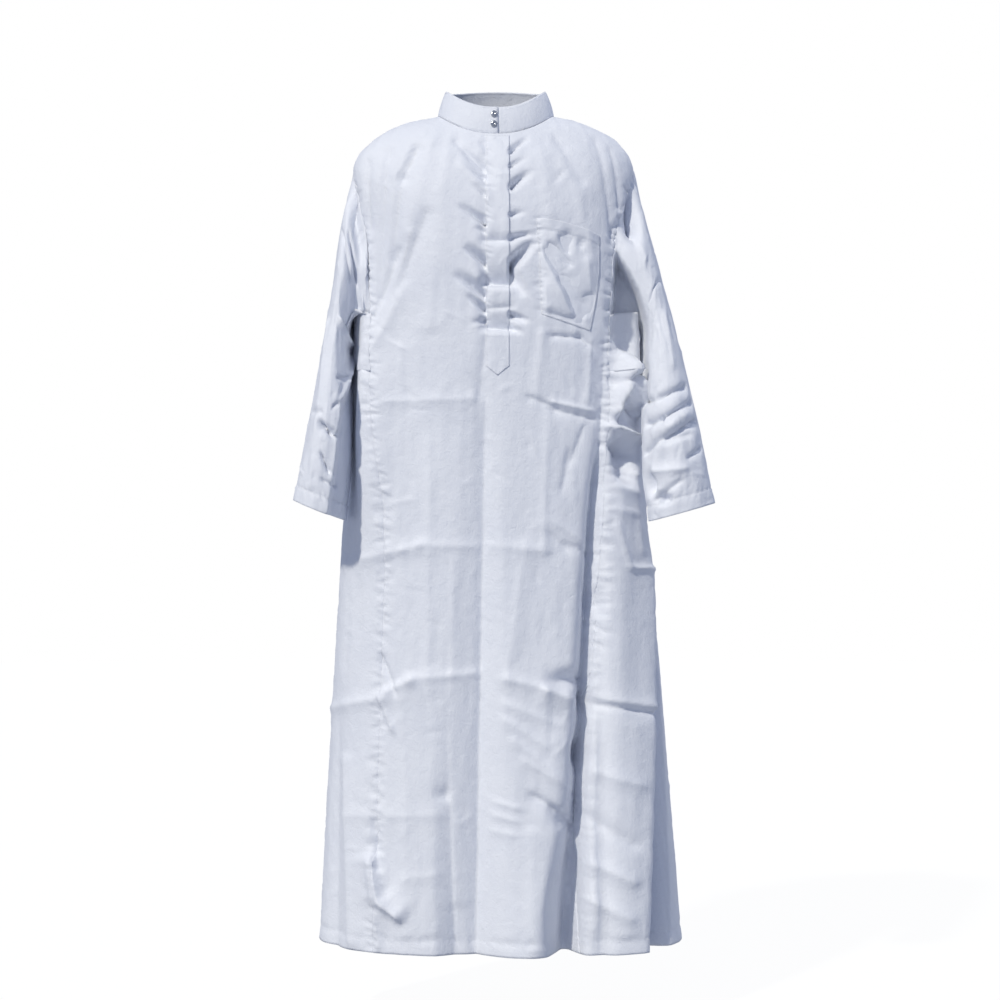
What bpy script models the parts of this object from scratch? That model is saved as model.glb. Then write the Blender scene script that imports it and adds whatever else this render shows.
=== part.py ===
"""Thobe robe: a long, loose, collared robe, hollow as it is when worn.

Metres, +Z up, front facing -Y, the wearer's left at +X. The origin is the middle of the neck, level with
the high points of the shoulders, which carry the whole robe.

Every cloth piece is an open sheet on one of three smooth forms (body, sleeve, collar), thickened inwards.
The body form is a stack of rings. A ring is numbered by its level, 0 at the neck and HEM_LEVEL at the hem,
and a point on it by an angle in degrees: 0 at the wearer's left side, -90 at the front centre, 90 at the
back centre, 180 at the right side.
"""

import math

import bmesh
import bpy
import numpy as np

# Cloth and seams
CLOTH = 0.0012
COLLAR_CLOTH = 0.0018
SEAM_GAP = 0.0005
ARMHOLE_GAP = 0.0012
LAYER_GAP = 0.0005

# Body rings, from the neck to the hem. minus_x and plus_x are the ring's reach to the wearer's right and
# left. The seam columns are the panel seams' distance from the middle, as a share of that reach.
RING_COLUMNS = (
    "minus_x", "plus_x", "side_z", "front_y", "front_z", "back_y", "back_z",
    "seam_minus", "seam_plus", "back_seam",
)
RINGS = np.array([
    (-0.103, 0.099, 0.000, -0.080, -0.040, 0.066, 0.014, 1.00, 1.00, 1.00),
    (-0.165, 0.153, -0.014, -0.102, -0.078, 0.093, -0.022, 1.00, 1.00, 1.00),
    (-0.219, 0.209, -0.045, -0.117, -0.125, 0.113, -0.075, 1.00, 1.00, 1.00),
    (-0.250, 0.236, -0.092, -0.126, -0.178, 0.123, -0.145, 1.00, 1.00, 1.00),
    (-0.248, 0.241, -0.200, -0.133, -0.255, 0.125, -0.240, 0.91, 0.85, 0.87),
    (-0.247, 0.244, -0.340, -0.136, -0.365, 0.123, -0.362, 0.86, 0.80, 0.82),
    (-0.256, 0.254, -0.540, -0.138, -0.545, 0.125, -0.545, 0.79, 0.745, 0.78),
    (-0.267, 0.262, -0.700, -0.143, -0.700, 0.134, -0.700, 0.71, 0.695, 0.74),
    (-0.281, 0.280, -0.930, -0.151, -0.930, 0.144, -0.930, 0.70, 0.60, 0.71),
    (-0.294, 0.298, -1.150, -0.159, -1.150, 0.153, -1.150, 0.69, 0.49, 0.69),
    (-0.308, 0.320, -1.424, -0.168, -1.428, 0.163, -1.424, 0.685, 0.45, 0.68),
])
SHOULDER_END = 3
UNDERARM = 5
GORE_TOP = 5.5
HEM_LEVEL = len(RINGS) - 1
SQUARENESS = 2.3

# Folds of the body: valleys have a negative depth. Each runs straight from its top to its bottom, measured
# round the body from the front centre (+ towards the wearer's left), and fades in over its first third.
FOLD_COLUMNS = ("top_z", "bottom_z", "top_round", "bottom_round", "depth", "minus_width", "plus_width")
FOLDS = np.array([
    (-0.40, -1.60, -0.022, -0.030, -0.024, 0.030, 0.050),  # deep pleat down the middle of the front
    (-0.55, -1.60, -0.085, -0.095, 0.009, 0.045, 0.040),  # roll beside it
    (-0.95, -1.60, 0.160, 0.128, -0.026, 0.034, 0.022),  # dip inside the front seam, plus side
    (-0.50, -1.05, 0.185, 0.165, -0.012, 0.030, 0.016),
    (-0.80, -1.60, 0.262, 0.275, 0.012, 0.035, 0.025),  # pleat beside the side seam, plus side
    (-0.75, -1.60, 0.290, 0.318, -0.028, 0.022, 0.026),
    (-1.00, -1.60, -0.290, -0.300, -0.012, 0.025, 0.025),  # soft folds of the minus side
    (-0.90, -1.60, -0.560, -0.580, -0.018, 0.035, 0.035),  # back
    (-0.70, -1.60, -0.700, -0.720, -0.020, 0.040, 0.045),
    (-0.85, -1.60, 0.640, 0.660, -0.020, 0.040, 0.035),
    (-1.00, -1.60, 0.520, 0.540, -0.014, 0.030, 0.030),
])

FOLD_FADE = 1 / 3
FOLD_ROUNDNESS = 1.7

# Sleeves, from the armhole to the cuff: the outer and inner edge seen from the front, the middle's place
# front to back and half the depth.
SLEEVE_COLUMNS = ("outer_x", "outer_z", "inner_x", "inner_z", "middle_y", "half_depth")
SLEEVE_LEFT = np.array([
    (0.236, -0.092, 0.244, -0.340, -0.004, 0.095),
    (0.260, -0.190, 0.252, -0.372, -0.008, 0.090),
    (0.285, -0.288, 0.250, -0.408, -0.026, 0.081),
    (0.310, -0.393, 0.247, -0.458, -0.062, 0.070),
    (0.333, -0.500, 0.2455, -0.543, -0.095, 0.060),
    (0.352, -0.592, 0.247, -0.628, -0.106, 0.055),
    (0.368, -0.670, 0.257, -0.701, -0.112, 0.050),
])
SLEEVE_RIGHT = np.array([
    (-0.250, -0.092, -0.247, -0.340, -0.004, 0.095),
    (-0.270, -0.190, -0.254, -0.372, -0.008, 0.090),
    (-0.282, -0.288, -0.253, -0.408, -0.026, 0.081),
    (-0.297, -0.393, -0.250, -0.458, -0.062, 0.071),
    (-0.313, -0.500, -0.248, -0.540, -0.095, 0.064),
    (-0.330, -0.592, -0.250, -0.622, -0.106, 0.060),
    (-0.344, -0.665, -0.258, -0.700, -0.112, 0.056),
])
UNDERARM_ARC = (130.0, 230.0)
JOIN_LEVELS = 2
ARMHOLE_CURVE = 1.6

# Gussets under the arms: their reach down the sleeve, and the gaps to the sleeve's notch (degrees at its
# sides, levels at its end) and to the gores (levels)
GUSSET_REACH = 1.5
GUSSET_SIDE_GAP = 1.6
GUSSET_END_GAP = 0.04
GUSSET_GORE_GAP = 0.008

# Stand collar
COLLAR_TOP = {"minus_x": -0.090, "plus_x": 0.085, "side_z": 0.0435, "front_y": -0.071, "front_z": 0.007,
              "back_y": 0.057, "back_z": 0.054}
COLLAR_END_X = 0.002
COLLAR_UNDERLAP = 0.022
COLLAR_BULGE = 0.0015
COLLAR_FOOT = 0.012
TUCK_START = -300
TUCK_TURN = 40

# Front closing
PLACKET_X = (-0.019, 0.021)
PLACKET_TOP_LEVEL = 0.10
PLACKET_CORNER_Z = -0.4395
PLACKET_TIP_Z = -0.4555
PLACKET_ROWS_FROM = 0.3
PLACKET_END_ROOM = 0.05
SLIT_END_Z = -0.384
SLIT_WIDTH = 0.0012

# Chest pocket corners (x, z): top inner, top outer, bottom inner, bottom outer
POCKET_CORNERS = ((0.067, -0.190), (0.172, -0.217), (0.075, -0.352), (0.157, -0.379))
POCKET_CELLS = (4, 6)

# Pocket bag inside the side seam: its levels, its reach as a share of the way to the front seam, and the
# angle at which it stops short of the side seam
BAG_LEVELS = (6.0, 7.3)
BAG_SHARE = 0.80
BAG_SEAM_ANGLE = -1.5

# Press studs on the collar
STUD_RADIUS = 0.0058
STUD_HEIGHT = 0.0032
STUD_RIM = 0.0011
STUD_X = -0.0055
STUD_Z = (-0.0060, -0.0235)

# Rows and columns of the sheets
SHOULDER_STEPS = 6
ARMHOLE_STEPS = 6
SKIRT_STEPS = 20
SHOULDER_ROWS = np.linspace(0, SHOULDER_END, SHOULDER_STEPS + 1)[:-1]
ARMHOLE_ROWS = (
    SHOULDER_END + (UNDERARM - SHOULDER_END) * np.linspace(0, 1, ARMHOLE_STEPS + 1) ** ARMHOLE_CURVE
)
SKIRT_ROWS = np.linspace(UNDERARM, HEM_LEVEL, SKIRT_STEPS + 1)[1:]
BODY_ROWS = np.concatenate([SHOULDER_ROWS, ARMHOLE_ROWS, SKIRT_ROWS])
GORE_ROWS = np.concatenate([[GORE_TOP], SKIRT_ROWS[SKIRT_ROWS > GORE_TOP]])
FRONT_CELLS = (9, 2, 8)
BACK_CELLS = 13
GORE_CELLS = 5
GUSSET_CELLS = 6
SLEEVE_STEPS = 12
SLEEVE_ROWS = np.linspace(0, len(SLEEVE_LEFT) - 1, SLEEVE_STEPS + 1)
PLACKET_CELLS = 2
COLLAR_CELLS = (40, 2)
STUD_PROFILE = 6
STUD_TURNS = 16

# Steps that measure a direction or a length on a form: in levels, in degrees and round a whole ring
PROBE = 0.02
PROBE_ANGLE = 0.5
ROUND_STEPS = 144
FIND_STEPS = 30
MERGE = 0.00001

# Colours, roughness and metallic value of the materials
WHITE_CLOTH = ((0.80, 0.83, 0.90, 1), 0.62, 0.0)
STUD_METAL = ((0.62, 0.63, 0.65, 1), 0.28, 1.0)


def smooth_row(table, level):
    """The table's row at a level between two rows, on a smooth curve through all of them."""
    level = np.clip(np.asarray(level, float), 0, len(table) - 1)
    low = np.clip(np.floor(level).astype(int), 0, len(table) - 2)
    slopes = np.gradient(table, axis=0)
    t = (level - low)[..., None]
    a, b = table[low], table[low + 1]
    return (
        a * (2 * t**3 - 3 * t**2 + 1)
        + slopes[low] * (t**3 - 2 * t**2 + t)
        + b * (3 * t**2 - 2 * t**3)
        + slopes[low + 1] * (t**3 - t**2)
    )


def by_name(names, rows):
    """The columns of a table's rows, by their names."""
    return dict(zip(names, np.moveaxis(np.asarray(rows), -1, 0)))


def ring_point(ring, angle):
    """A point of one ring, given as columns of RING_COLUMNS, at an angle in degrees."""
    at = by_name(RING_COLUMNS, ring)
    cos, sin = np.cos(np.radians(angle)), np.sin(np.radians(angle))
    power = 2 / SQUARENESS
    x = np.where(cos > 0, at["plus_x"], at["minus_x"]) * np.abs(cos) ** power
    y = np.where(sin < 0, at["front_y"], at["back_y"]) * np.abs(sin) ** power
    end_z = np.where(sin < 0, at["front_z"], at["back_z"])
    z = at["side_z"] + (end_z - at["side_z"]) * sin**2
    return np.stack(np.broadcast_arrays(x, y, z), axis=-1)


def plain_body(angle, level):
    """The body form without its folds."""
    return ring_point(smooth_row(RINGS, level), angle)


def unit(vectors):
    return vectors / np.linalg.norm(vectors, axis=-1, keepdims=True)


def body_normal(angle, level):
    """The way out of the body form."""
    round_way = plain_body(angle + PROBE_ANGLE, level) - plain_body(angle - PROBE_ANGLE, level)
    down_way = plain_body(angle, level + PROBE) - plain_body(angle, level - PROBE)
    return unit(np.cross(down_way, round_way))


def round_distance(angle, level):
    """How far round the body a point is from the front centre, + towards the wearer's left."""
    angle, level = np.broadcast_arrays(np.asarray(angle, float), np.asarray(level, float))
    angle = np.where(angle > 90, angle - 360, angle)
    degrees = np.linspace(-270, 90, ROUND_STEPS + 1)
    points = plain_body(degrees, level.reshape(-1, 1))[..., :2]
    steps = np.linalg.norm(np.diff(points, axis=1), axis=-1)
    reach = np.concatenate([np.zeros((len(steps), 1)), np.cumsum(steps, axis=1)], axis=1)
    reach -= reach[:, [np.argmin(np.abs(degrees + 90))]]
    found = [np.interp(a, degrees, row) for a, row in zip(angle.ravel(), reach)]
    return np.array(found).reshape(angle.shape)


def fold_depth(angle, level):
    """How far the folds move the cloth out of the plain form."""
    z = plain_body(angle, level)[..., 2]
    place = round_distance(angle, level)
    total = np.zeros(place.shape)
    for row in FOLDS:
        fold = by_name(FOLD_COLUMNS, row)
        along = np.clip((fold["top_z"] - z) / (fold["top_z"] - fold["bottom_z"]), 0, 1)
        off = place - (fold["top_round"] + (fold["bottom_round"] - fold["top_round"]) * along)
        width = np.where(off < 0, fold["minus_width"], fold["plus_width"])
        fade = np.clip(along / FOLD_FADE, 0, 1)
        shape = np.exp(-np.abs(off / width) ** FOLD_ROUNDNESS)
        total += fold["depth"] * fade**2 * (3 - 2 * fade) * shape
    return total


def body(angle, level, out=0.0):
    """A point of the draped body, moved out by a distance."""
    angle, level = np.broadcast_arrays(np.asarray(angle, float), np.asarray(level, float))
    lift = fold_depth(angle, level) + out
    return plain_body(angle, level) + body_normal(angle, level) * lift[..., None]


def angle_step(angle, level, distance):
    """The change of angle that moves a point round the body by a distance."""
    chord = np.linalg.norm(plain_body(angle + PROBE_ANGLE, level) - plain_body(angle, level), axis=-1)
    return PROBE_ANGLE * distance / chord


def front_angle(x, level):
    """The angle of the front's point that lies at x."""
    at = by_name(RING_COLUMNS, smooth_row(RINGS, level))
    share = np.abs(x) / np.where(x > 0, at["plus_x"], -at["minus_x"])
    return -90 + np.sign(x) * np.degrees(np.arcsin(np.clip(share, 0, 1) ** (SQUARENESS / 2)))


def front_place(x, z):
    """(angle, level) of the front's point at x and z."""
    low, high = 0.0, float(HEM_LEVEL)
    for _ in range(FIND_STEPS):
        level = (low + high) / 2
        angle = float(front_angle(x, level))
        if plain_body(angle, level)[2] > z:
            low = level
        else:
            high = level
    return angle, level


def seam_angle(name, level):
    """The angle of a lengthwise seam: of the front and back panels, or the side seam between the gores."""
    column = {"front_minus": "seam_minus", "front_plus": "seam_plus"}.get(name, "back_seam")
    share = np.clip(by_name(RING_COLUMNS, smooth_row(RINGS, level))[column], 0, 1)
    share = np.where(np.asarray(level) <= SHOULDER_END, 1.0, share)
    off_side = np.degrees(np.arccos(share ** (SQUARENESS / 2)))
    return {
        "front_plus": -off_side,
        "front_minus": off_side - 180,
        "back_plus": off_side,
        "back_minus": 180 - off_side,
    }[name]


def between(start, end, cells):
    """Evenly spaced values from start to end for each row."""
    share = np.linspace(0, 1, cells + 1)
    return np.asarray(start)[..., None] * (1 - share) + np.asarray(end)[..., None] * share


def panel_edges(from_seam, to_seam, rows):
    """The angles of a panel's two edges, half a seam gap inside its seams."""
    start, end = seam_angle(from_seam, rows), seam_angle(to_seam, rows)
    return start + angle_step(start, rows, SEAM_GAP / 2), end - angle_step(end, rows, SEAM_GAP / 2)


def sleeve_section(table, turn, level):
    """A point of the plain sleeve: turn is 0 at its outer edge, 90 at its front, 180 at its inner edge."""
    at = by_name(SLEEVE_COLUMNS, smooth_row(table, level))
    cos, sin = np.cos(np.radians(turn)), np.sin(np.radians(turn))
    x = (at["outer_x"] + at["inner_x"]) / 2 + (at["outer_x"] - at["inner_x"]) / 2 * cos
    z = (at["outer_z"] + at["inner_z"]) / 2 + (at["outer_z"] - at["inner_z"]) / 2 * cos
    y = at["middle_y"] - at["half_depth"] * sin
    return np.stack(np.broadcast_arrays(x, y, z), axis=-1)


def armhole_point(side, turn):
    """The sleeve's edge at a turn round it: the body's edge round the armhole, one cloth further out."""
    start, end = UNDERARM_ARC
    turn = np.asarray(turn, float)
    up = np.where(turn < 180, turn / start, (360 - turn) / (360 - end))
    level = SHOULDER_END + (UNDERARM - SHOULDER_END) * np.clip(up, 0, 1) ** ARMHOLE_CURVE
    front, back = seam_angle("front_" + side, level), seam_angle("back_" + side, level)
    if side == "minus":
        back = back - 360
    across = np.clip((turn - start) / (end - start), 0, 1)
    return body(front + (back - front) * across, level, CLOTH + SEAM_GAP)


def sleeve(side, turn, level):
    """A point of the sleeve, which leaves the armhole's edge and turns into its own round form."""
    table = SLEEVE_LEFT if side == "plus" else SLEEVE_RIGHT
    turn, level = np.broadcast_arrays(np.asarray(turn, float), np.asarray(level, float))
    fade = np.clip(1 - level / JOIN_LEVELS, 0, 1) ** 2
    join = armhole_point(side, turn) - sleeve_section(table, turn, np.zeros(turn.shape))
    return sleeve_section(table, turn, level) + fade[..., None] * join


def collar_point(angle, height, out=0.0):
    """A point of the collar, from its base at height 0 to its top edge at 1."""
    top = np.array([COLLAR_TOP[name] for name in RING_COLUMNS[:7]])
    height = np.asarray(height, float)
    base = RINGS[0, :7]
    ring = base + (top - base) * height[..., None]
    point = ring_point(ring, angle)
    out = out + COLLAR_BULGE * np.sin(np.pi * height)
    away = np.stack([np.cos(np.radians(angle)), np.sin(np.radians(angle)), np.zeros(np.shape(angle))], -1)
    return point + away * np.asarray(out)[..., None]


def new_material(name, look):
    colour, roughness, metallic = look
    made = bpy.data.materials.new(name)
    made.use_nodes = True
    shader = made.node_tree.nodes["Principled BSDF"]
    shader.inputs["Base Color"].default_value = colour
    shader.inputs["Roughness"].default_value = roughness
    shader.inputs["Metallic"].default_value = metallic
    return made


def new_object(name, mesh, look, parent):
    made = bpy.data.objects.new(name, mesh)
    mesh.materials.append(new_material(name, look))
    parent.users_collection[0].objects.link(made)
    made.parent = parent
    return made


def cloth_piece(name, points, parent, closed=False, thickness=CLOTH, leave_out=()):
    """A sheet through rows of points, thickened inwards. closed joins the last column to the first.
    leave_out holds (row, column) cells that are cut away."""
    rows, columns = points.shape[:2]
    wrap = columns if closed else columns - 1
    faces = []
    for row in range(rows - 1):
        for column in range(wrap):
            if (row, column) in leave_out:
                continue
            after = (column + 1) % columns
            top, below = row * columns, (row + 1) * columns
            faces.append((top + column, below + column, below + after, top + after))
    mesh = bpy.data.meshes.new(name)
    mesh.from_pydata(points.reshape(-1, 3).tolist(), [], faces)
    loose = sorted(set(range(rows * columns)) - {corner for face in faces for corner in face})
    if loose:
        remove_points(mesh, loose)
    mesh.shade_smooth()
    made = new_object(name, mesh, WHITE_CLOTH, parent)
    wall = made.modifiers.new("Wall", "SOLIDIFY")
    wall.thickness = thickness
    wall.offset = -1
    return made


def remove_points(mesh, indices):
    work = bmesh.new()
    work.from_mesh(mesh)
    work.verts.ensure_lookup_table()
    bmesh.ops.delete(work, geom=[work.verts[i] for i in indices], context="VERTS")
    work.to_mesh(mesh)
    work.free()


def build_front(parent):
    """The front panel, slit down the middle under the placket."""
    rows = BODY_ROWS
    minus_part, middle_part, plus_part = FRONT_CELLS
    start, end = panel_edges("front_minus", "front_plus", rows)
    inner = front_angle(np.full(rows.shape, PLACKET_X[0]), rows)
    outer = front_angle(np.full(rows.shape, PLACKET_X[1]), rows)
    angles = np.concatenate([
        between(start, inner, minus_part)[:, :-1],
        between(inner, outer, middle_part)[:, :-1],
        between(outer, end, plus_part),
    ], axis=1)
    front = cloth_piece("front_panel", body(angles, rows[:, None]), parent)
    cut_slit(front.data)


def cut_slit(mesh):
    """Parts the cloth along the column under the placket's middle, from the neck to the placket's stitch."""
    middle = sum(PLACKET_X) / 2
    work = bmesh.new()
    work.from_mesh(mesh)
    on_slit = {v for v in work.verts if abs(v.co.x - middle) < SLIT_WIDTH and v.co.z > SLIT_END_Z}
    edges = [e for e in work.edges if all(v in on_slit for v in e.verts)]
    bmesh.ops.split_edges(work, edges=edges)
    for vert in work.verts:
        centres = [face.calc_center_median().x for face in vert.link_faces]
        if vert.is_boundary and abs(vert.co.x - middle) < SLIT_WIDTH and vert.co.z > SLIT_END_Z:
            beside = sum(centres) / len(centres) - middle
            if abs(beside) > SLIT_WIDTH:
                vert.co.x += math.copysign(SLIT_WIDTH / 2, beside)
    work.to_mesh(mesh)
    work.free()


def build_back(parent):
    start, end = panel_edges("back_plus", "back_minus", BODY_ROWS)
    cloth_piece("back_panel", body(between(start, end, BACK_CELLS), BODY_ROWS[:, None]), parent)


def build_gores(parent):
    """Four flared side panels, below the gussets: front and back, joined at each side seam."""
    rows = GORE_ROWS
    for side, middle in (("plus", 0.0), ("minus", -180.0)):
        name = "left" if side == "plus" else "right"
        front = seam_angle("front_" + side, rows)
        back = seam_angle("back_" + side, rows)
        if side == "minus":
            back = back - 360
        towards_back = 1 if side == "plus" else -1
        gap = towards_back * angle_step(front, rows, SEAM_GAP / 2)
        centre = np.full(rows.shape, middle)
        centre_gap = towards_back * angle_step(centre, rows, SEAM_GAP / 2)
        for kind, start, end in (
            ("front", front + gap, centre - centre_gap),
            ("back", centre + centre_gap, back - gap),
        ):
            angles = between(start, end, GORE_CELLS)
            if side == "minus":
                angles = angles[:, ::-1]
            cloth_piece(f"{kind}_gore_{name}", body(angles, rows[:, None]), parent)


def build_sleeves(parent):
    """Each sleeve is one tube with a notch under the arm, and the gusset fills the notch and reaches
    down to the gores."""
    start, end = UNDERARM_ARC
    front_turns = start * np.linspace(0, 1, ARMHOLE_STEPS + 1)
    under_turns = np.linspace(start, end, GUSSET_CELLS + 1)
    back_turns = end + (360 - end) * np.linspace(0, 1, ARMHOLE_STEPS + 1)
    turns = np.concatenate([front_turns[:-1], under_turns[:-1], back_turns[:-1]])
    notch_rows = int(np.searchsorted(SLEEVE_ROWS, GUSSET_REACH))
    notch = {
        (row, column)
        for row in range(notch_rows)
        for column in range(ARMHOLE_STEPS, ARMHOLE_STEPS + GUSSET_CELLS)
    }
    for side, name in (("plus", "left"), ("minus", "right")):
        grid_turns, grid_rows = np.meshgrid(turns, SLEEVE_ROWS)
        speed = np.linalg.norm(sleeve(side, turns, PROBE) - sleeve(side, turns, 0.0), axis=-1) / PROBE
        grid_rows[0] = ARMHOLE_GAP / speed
        points = sleeve(side, grid_turns, grid_rows)
        if side == "plus":
            points = points[:, ::-1]
            cells = {(row, len(turns) - 2 - column if column < len(turns) - 1 else column)
                     for row, column in notch}
        else:
            cells = notch
        cloth_piece(f"sleeve_{name}", points, parent, closed=True, leave_out=cells)
        build_gusset(side, name, parent)


def build_gusset(side, name, parent):
    start, end = UNDERARM_ARC
    turns = np.linspace(start + GUSSET_SIDE_GAP, end - GUSSET_SIDE_GAP, GUSSET_CELLS + 1)
    bottom = GORE_TOP - GUSSET_GORE_GAP
    levels = np.array([bottom, (GORE_TOP + UNDERARM) / 2, UNDERARM])
    front, back = seam_angle("front_" + side, levels), seam_angle("back_" + side, levels)
    if side == "minus":
        back = back - 360
    towards_back = 1 if side == "plus" else -1
    front = front + towards_back * angle_step(front, levels, SEAM_GAP)
    back = back - towards_back * angle_step(back, levels, SEAM_GAP)
    on_body = body(between(front, back, GUSSET_CELLS), levels[:, None])
    reach = np.array([GUSSET_REACH / 3, GUSSET_REACH * 2 / 3, GUSSET_REACH - GUSSET_END_GAP])
    on_sleeve = sleeve(side, turns[None, :], reach[:, None])
    points = np.concatenate([on_body, on_sleeve])[::-1]
    if side == "plus":
        points = points[:, ::-1]
    cloth_piece(f"gusset_{name}", points, parent)


def build_collar(parent):
    """A stand collar whose end on the wearer's right lies over the other one at the front."""
    cells, rows = COLLAR_CELLS
    start = front_angle(COLLAR_END_X, 0.0)
    end = front_angle(COLLAR_END_X - COLLAR_UNDERLAP, 0.0) - 360
    angles = np.linspace(start, end, cells + 1)
    under = np.clip((start + TUCK_START - angles) / TUCK_TURN, 0, 1)
    tuck = -(COLLAR_CLOTH + LAYER_GAP) * under**2 * (3 - 2 * under)
    heights = np.linspace(COLLAR_FOOT, 1, rows + 1)
    points = collar_point(angles[None, :], heights[:, None], tuck[None, :])
    cloth_piece("collar_band", points[::-1, ::-1], parent, thickness=COLLAR_CLOTH)


def build_placket(parent):
    """A strip over the slit, ending in a point, sewn down along its edge on the wearer's right."""
    corner = front_place(PLACKET_X[1], PLACKET_CORNER_Z)[1]
    tip = front_place(sum(PLACKET_X) / 2, PLACKET_TIP_Z)[1]
    middle_rows = BODY_ROWS[(BODY_ROWS > PLACKET_ROWS_FROM) & (BODY_ROWS < corner - PLACKET_END_ROOM)]
    rows = np.concatenate([[PLACKET_TOP_LEVEL], middle_rows, [corner]])
    inner = front_angle(np.full(rows.shape, PLACKET_X[0]), rows)
    outer = front_angle(np.full(rows.shape, PLACKET_X[1]), rows)
    angles = between(inner, outer, PLACKET_CELLS)
    levels = np.repeat(rows[:, None], PLACKET_CELLS + 1, axis=1)
    levels[-1, PLACKET_CELLS // 2] = tip
    points = body(angles, levels, CLOTH + LAYER_GAP)
    cloth_piece("placket", points, parent)


def build_chest_pocket(parent):
    columns, rows = POCKET_CELLS
    corners = np.array([front_place(x, z) for x, z in POCKET_CORNERS])
    across, down = np.meshgrid(np.linspace(0, 1, columns + 1), np.linspace(0, 1, rows + 1))
    weights = np.stack([(1 - across) * (1 - down), across * (1 - down), (1 - across) * down, across * down], -1)
    places = weights @ corners
    points = body(places[..., 0], places[..., 1], CLOTH + 2 * LAYER_GAP)
    cloth_piece("chest_pocket", points, parent)


def build_pocket_bag(parent):
    """One layer of pocket cloth inside the front gore, sewn to it along its edges."""
    rows = BODY_ROWS[(BODY_ROWS > BAG_LEVELS[0]) & (BODY_ROWS < BAG_LEVELS[1])]
    front = seam_angle("front_plus", rows) * BAG_SHARE
    angles = between(front, np.full(rows.shape, BAG_SEAM_ANGLE), GORE_CELLS)
    points = body(angles, rows[:, None], -2 * CLOTH - LAYER_GAP)
    cloth_piece("side_pocket_bag", points, parent, thickness=CLOTH / 2)


def build_studs(parent):
    """Two domed press studs, one above the other, through the collar's overlapping ends."""
    dome = STUD_HEIGHT - STUD_RIM
    profile = [(0, STUD_HEIGHT)]
    for tilt in np.linspace(0, math.pi / 2, STUD_PROFILE + 1)[1:]:
        profile.append((STUD_RADIUS * math.sin(tilt), STUD_RIM + dome * math.cos(tilt)))
    profile += [(STUD_RADIUS, 0), (0, 0)]
    for name, z in zip(("upper", "lower"), STUD_Z):
        height = (z - RINGS[0, 4]) / (COLLAR_TOP["front_z"] - RINGS[0, 4])
        angle = float(front_angle(STUD_X, 0.0))
        seat = collar_point(np.array(angle), np.array(height), LAYER_GAP)
        below = collar_point(np.array(angle), np.array(height - PROBE))
        above = collar_point(np.array(angle), np.array(height + PROBE))
        lean = math.atan2(above[1] - below[1], above[2] - below[2])
        mesh = bpy.data.meshes.new(f"collar_stud_{name}")
        edges = [(i, i + 1) for i in range(len(profile) - 1)]
        mesh.from_pydata([(r, 0, h) for r, h in profile], edges, [])
        made = new_object(f"collar_stud_{name}", mesh, STUD_METAL, parent)
        made.location = seat.tolist()
        made.rotation_euler = (math.radians(90) - lean, 0, 0)
        turned = made.modifiers.new("Turned", "SCREW")
        turned.steps = turned.render_steps = STUD_TURNS
        turned.use_merge_vertices = True
        turned.merge_threshold = MERGE


def main():
    for leftover in list(bpy.data.objects):
        bpy.data.objects.remove(leftover)
    collection = bpy.data.collections.new("thobe_robe")
    bpy.context.scene.collection.children.link(collection)
    robe = bpy.data.objects.new("robe", None)
    collection.objects.link(robe)
    build_front(robe)
    build_back(robe)
    build_gores(robe)
    build_sleeves(robe)
    build_collar(robe)
    build_placket(robe)
    build_chest_pocket(robe)
    build_pocket_bag(robe)
    build_studs(robe)


main()
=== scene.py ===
"""Looks of the thobe robe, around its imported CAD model.

Metres, +Z up, front facing -Y, the wearer's left at +X, as in the CAD model. Each cloth piece is a fine thin
sheet on the CAD model's own forms. A form carries a relief: folds, creases, dents and seam puckers, given as
their place on the cloth and their depth, so that neighbouring pieces carry the same relief across a seam.
"""

import math

import bpy
import numpy as np
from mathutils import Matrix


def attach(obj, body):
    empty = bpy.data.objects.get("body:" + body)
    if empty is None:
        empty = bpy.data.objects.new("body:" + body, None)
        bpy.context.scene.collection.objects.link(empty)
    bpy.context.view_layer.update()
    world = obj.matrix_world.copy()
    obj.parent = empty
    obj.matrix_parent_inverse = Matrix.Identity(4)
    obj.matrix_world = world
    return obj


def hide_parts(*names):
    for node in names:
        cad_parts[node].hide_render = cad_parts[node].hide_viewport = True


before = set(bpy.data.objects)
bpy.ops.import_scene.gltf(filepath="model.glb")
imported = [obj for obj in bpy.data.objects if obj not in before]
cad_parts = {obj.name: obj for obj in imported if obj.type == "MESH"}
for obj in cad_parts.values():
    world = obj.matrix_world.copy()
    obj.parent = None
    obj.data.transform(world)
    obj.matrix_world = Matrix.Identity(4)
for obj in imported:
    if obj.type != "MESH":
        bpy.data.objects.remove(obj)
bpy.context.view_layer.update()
ROOT = "root"

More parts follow.
